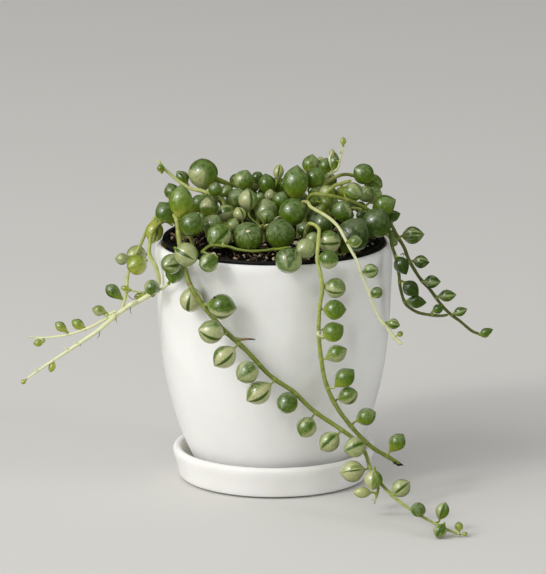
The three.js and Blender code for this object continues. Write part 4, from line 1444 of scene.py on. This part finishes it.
def pearlFinish():
    m = newFinish("pearlSkin")
    c = pearlColors
    point = m.attribute("pearlPoint", "Vector")
    height = m.add("SeparateXYZ", {0: point}).outputs[2]
    upward = m.add("SeparateXYZ", {0: m.add("NewGeometry").outputs["Normal"]}).outputs[2]
    seed = m.times(m.attribute("seed"), 37.0)
    tone = m.attribute("tone")
    milk = m.attribute("milk")

    # noise drawn out from stalk to tip, and clouds without direction
    turn = m.add("VectorMath", {0: m.stretch(point, (1, 1, 0))}, operation="NORMALIZE").outputs[0]
    meridian = m.add("VectorMath", {0: turn, 1: m.stretch(point, (0, 0, 0.45))}, operation="ADD").outputs[0]
    bands = m.noise(meridian, 2.6, 5, 0.6, seed)
    threads = m.noise(meridian, 9.0, 4, 0.65, m.plus(seed, 5.0))
    mottle = m.noise(point, 4.2, 5, 0.62, seed)
    fine = m.noise(point, 21, 4, 0.7, seed)

    # green, darker or yellower in clouds and threads, fresher near the stalk, and yellower underneath as a
    # painted glow of light shining through
    shade = tone
    for value, weight in ((mottle, 1.1), (threads, 0.95), (fine, 0.75)):
        shade = m.sway(shade, value, weight)
    # painted glow: down-facing sides turn yellower, for light shining through the pearl from below
    shade = m.plus(shade, m.span(upward, 0.35, -0.9, 0.0, 0.38))
    shade = m.plus(shade, m.span(height, -0.3, -1.0, 0.0, 0.35))
    stops = [(0.0, c["olive"]), (0.34, c["dark"]), (0.54, c["mid"]), (0.76, c["fresh"]), (1.0, c["yellow"])]
    skin = m.ramp(m.times(m.plus(shade, 1.0), 0.5), stops)

    # silvery mottling towards the tip, and painted sheen: more of it on up-facing sides, where the light
    # falls
    frostAndSheenLevel = m.plus(m.times(threads, 0.6), m.times(mottle, 0.5))
    frostAndSheenLevel = m.plus(frostAndSheenLevel, m.times(m.plus(height, upward), 0.09))
    frost = m.times(m.span(frostAndSheenLevel, 0.58, 0.7), m.attribute("frost"))
    skin = m.mix(m.times(frost, 0.75), skin, c["frost"])
    # pale specks, most on up-facing sides: real speckling with painted sheen
    speckAndSheen = m.times(m.span(m.noise(point, 32, 3, 0.7, seed), 0.5, 0.66), m.span(upward, -0.5, 0.6, 0.2, 1.0))
    speckAndSheen = m.times(speckAndSheen, m.plus(m.times(m.attribute("frost"), 0.5), 0.12))
    skin = m.mix(speckAndSheen, skin, c["frost"])

    # pale marbling with crisp edges
    reach = m.calc("SUBTRACT", 0.72, m.times(m.attribute("marble"), 0.24))
    marbled = m.span(m.calc("SUBTRACT", bands, reach), -0.012, 0.03)
    marbled = m.times(marbled, m.span(fine, 0.3, 0.6, 0.35, 1.0))
    pale = m.mix(milk, c["pale"], c["cream"])
    skin = m.mix(m.times(marbled, 0.75), skin, pale)

    # rings round the tip, on the few pearls that show them
    waves = m.calc("SINE", m.times(m.calc("POWER", m.calc("SUBTRACT", 1.0, height), 0.5), 19.0))
    ringed = m.times(m.span(waves, 0.35, 0.9), m.attribute("ripple"))
    skin = m.mix(m.times(ringed, 0.8), skin, c["frost"])

    # cream patches: ragged, with a paler band before the edge and flecks of green left inside
    creamEdge = m.attribute("creamEdge")
    for value, weight in ((bands, 0.7), (threads, 0.5), (mottle, 0.5)):
        creamEdge = m.sway(creamEdge, value, weight)
    skin = m.mix(m.span(creamEdge, -0.32, -0.03, 0.0, 0.55), skin, c["pale"])
    patch = m.mix(m.span(mottle, 0.4, 0.66, 0.0, 0.5), pale, c["pale"])
    flecks = m.span(m.plus(threads, m.times(fine, 0.4)), 0.73, 0.82, 0.0, 0.75)
    patch = m.mix(m.times(flecks, m.span(milk, 1.0, 0.2, 0.25, 1.0)), patch, c["mid"])
    patch = m.mix(m.times(m.span(tone, 0.3, 1.0), 0.5), patch, m.mix(0.5, patch, c["yellow"]))
    skin = m.mix(m.span(creamEdge, -0.02, 0.03), skin, patch)

    # the see-through window, a dark lens from near the stalk to the tip
    windowEdge = m.sway(m.attribute("windowEdge"), fine, 0.05)
    lens = m.mix(m.span(threads, 0.45, 0.65, 0.0, 0.5), c["window"], c["mid"])
    skin = m.mix(m.span(windowEdge, -0.012, 0.02, 0.0, 0.95), skin, lens)

    freckle = m.span(m.noise(point, 14, 1, 0.3, seed), 0.75, 0.79)
    skin = m.mix(m.times(freckle, 0.6), skin, c["cream"])
    skin = m.mix(m.times(m.attribute("neck"), 0.8), skin, m.mix(0.35, c["fresh"], c["yellow"]))
    m.set(Base_Color=m.mix(m.span(height, 0.994, 0.9995, 0.0, 0.8), skin, c["tip"]))

    m.set(Roughness=m.span(mottle, 0.3, 0.7, 0.3, 0.42), Specular_IOR_Level=0.9)
    m.set(Subsurface_Weight=0.12, Subsurface_Scale=0.0012, Subsurface_Radius=(0.7, 1.0, 0.15))
    m.set(Coat_Weight=1.0, Coat_Roughness=0.12)
    m.bump(m.plus(m.times(fine, 0.5), m.plus(threads, mottle)), 0.2, 0.0004)
    return m.owner


stemColors = {
    "olive": (0.065, 0.080, 0.014),
    "green": (0.190, 0.240, 0.036),
    "light": (0.430, 0.470, 0.130),
    "white": (0.740, 0.760, 0.480),
    "node": (0.470, 0.480, 0.170),
    "dry": (0.230, 0.130, 0.070),
    "burnt": (0.010, 0.007, 0.006),
}


def stemFinish():
    m = newFinish("stemSkin")
    c = stemColors
    place = m.attribute("pearlPoint", "Vector")
    seed = m.times(m.attribute("seed"), 37.0)
    mottle = m.noise(place, 0.6, 4, 0.6, seed)
    fine = m.noise(place, 4.0, 3, 0.6, seed)
    shade = m.sway(m.sway(m.attribute("tone"), mottle, 0.5), fine, 0.35)
    stops = [(0.0, c["olive"]), (0.5, c["green"]), (0.72, c["light"]), (1.0, c["white"])]
    skin = m.ramp(m.span(shade, -0.9, 0.9), stops)
    skin = m.mix(m.span(m.attribute("neck"), 0.45, 1.0, 0.0, 0.3), skin, c["node"])
    dry = m.sway(m.attribute("dry"), fine, 0.9)
    skin = m.mix(m.span(dry, 0.25, 0.6), skin, c["dry"])
    skin = m.mix(m.span(dry, 0.85, 1.15), skin, c["burnt"])
    m.set(Base_Color=skin, Roughness=m.span(mottle, 0.3, 0.7, 0.36, 0.52))
    m.set(Subsurface_Weight=0.2, Subsurface_Scale=0.001, Subsurface_Radius=(0.6, 1.0, 0.2))
    m.bump(fine, 0.25, 0.0003)
    return m.owner


def makeGrowth(name, materials):
    stem = plant[name]
    draw = random.Random(name)
    growth = Growth()
    lines = []
    for route in stem["routes"]:
        points = routePoints(route)
        if len(route[0]) == 3:
            points[0] = nearestPoint(lines, points[0])
        lines.append(stemLine(points))
    feet = [addPearl(growth, ball, lines, draw) for ball in stem["pearls"]]
    for i, line in enumerate(lines):
        thick, tone = stem["thick"], stem["tone"]
        addStem(growth, line, thick[min(i, len(thick) - 1)], tone[min(i, len(tone) - 1)], feet,
                stem.get("scars", ()), draw)
    for sprig in stem.get("sprigs", ()):
        addSprig(growth, sprig, draw)
    mesh = growth.mesh(name, materials)
    addPiece(name + ".leaves", mesh, name, sharp=180)


plantFinishes = (pearlFinish(), stemFinish())
for name in plant:
    makeGrowth(name, plantFinishes)
print("plant made:", len(plant), "stems and sprays")
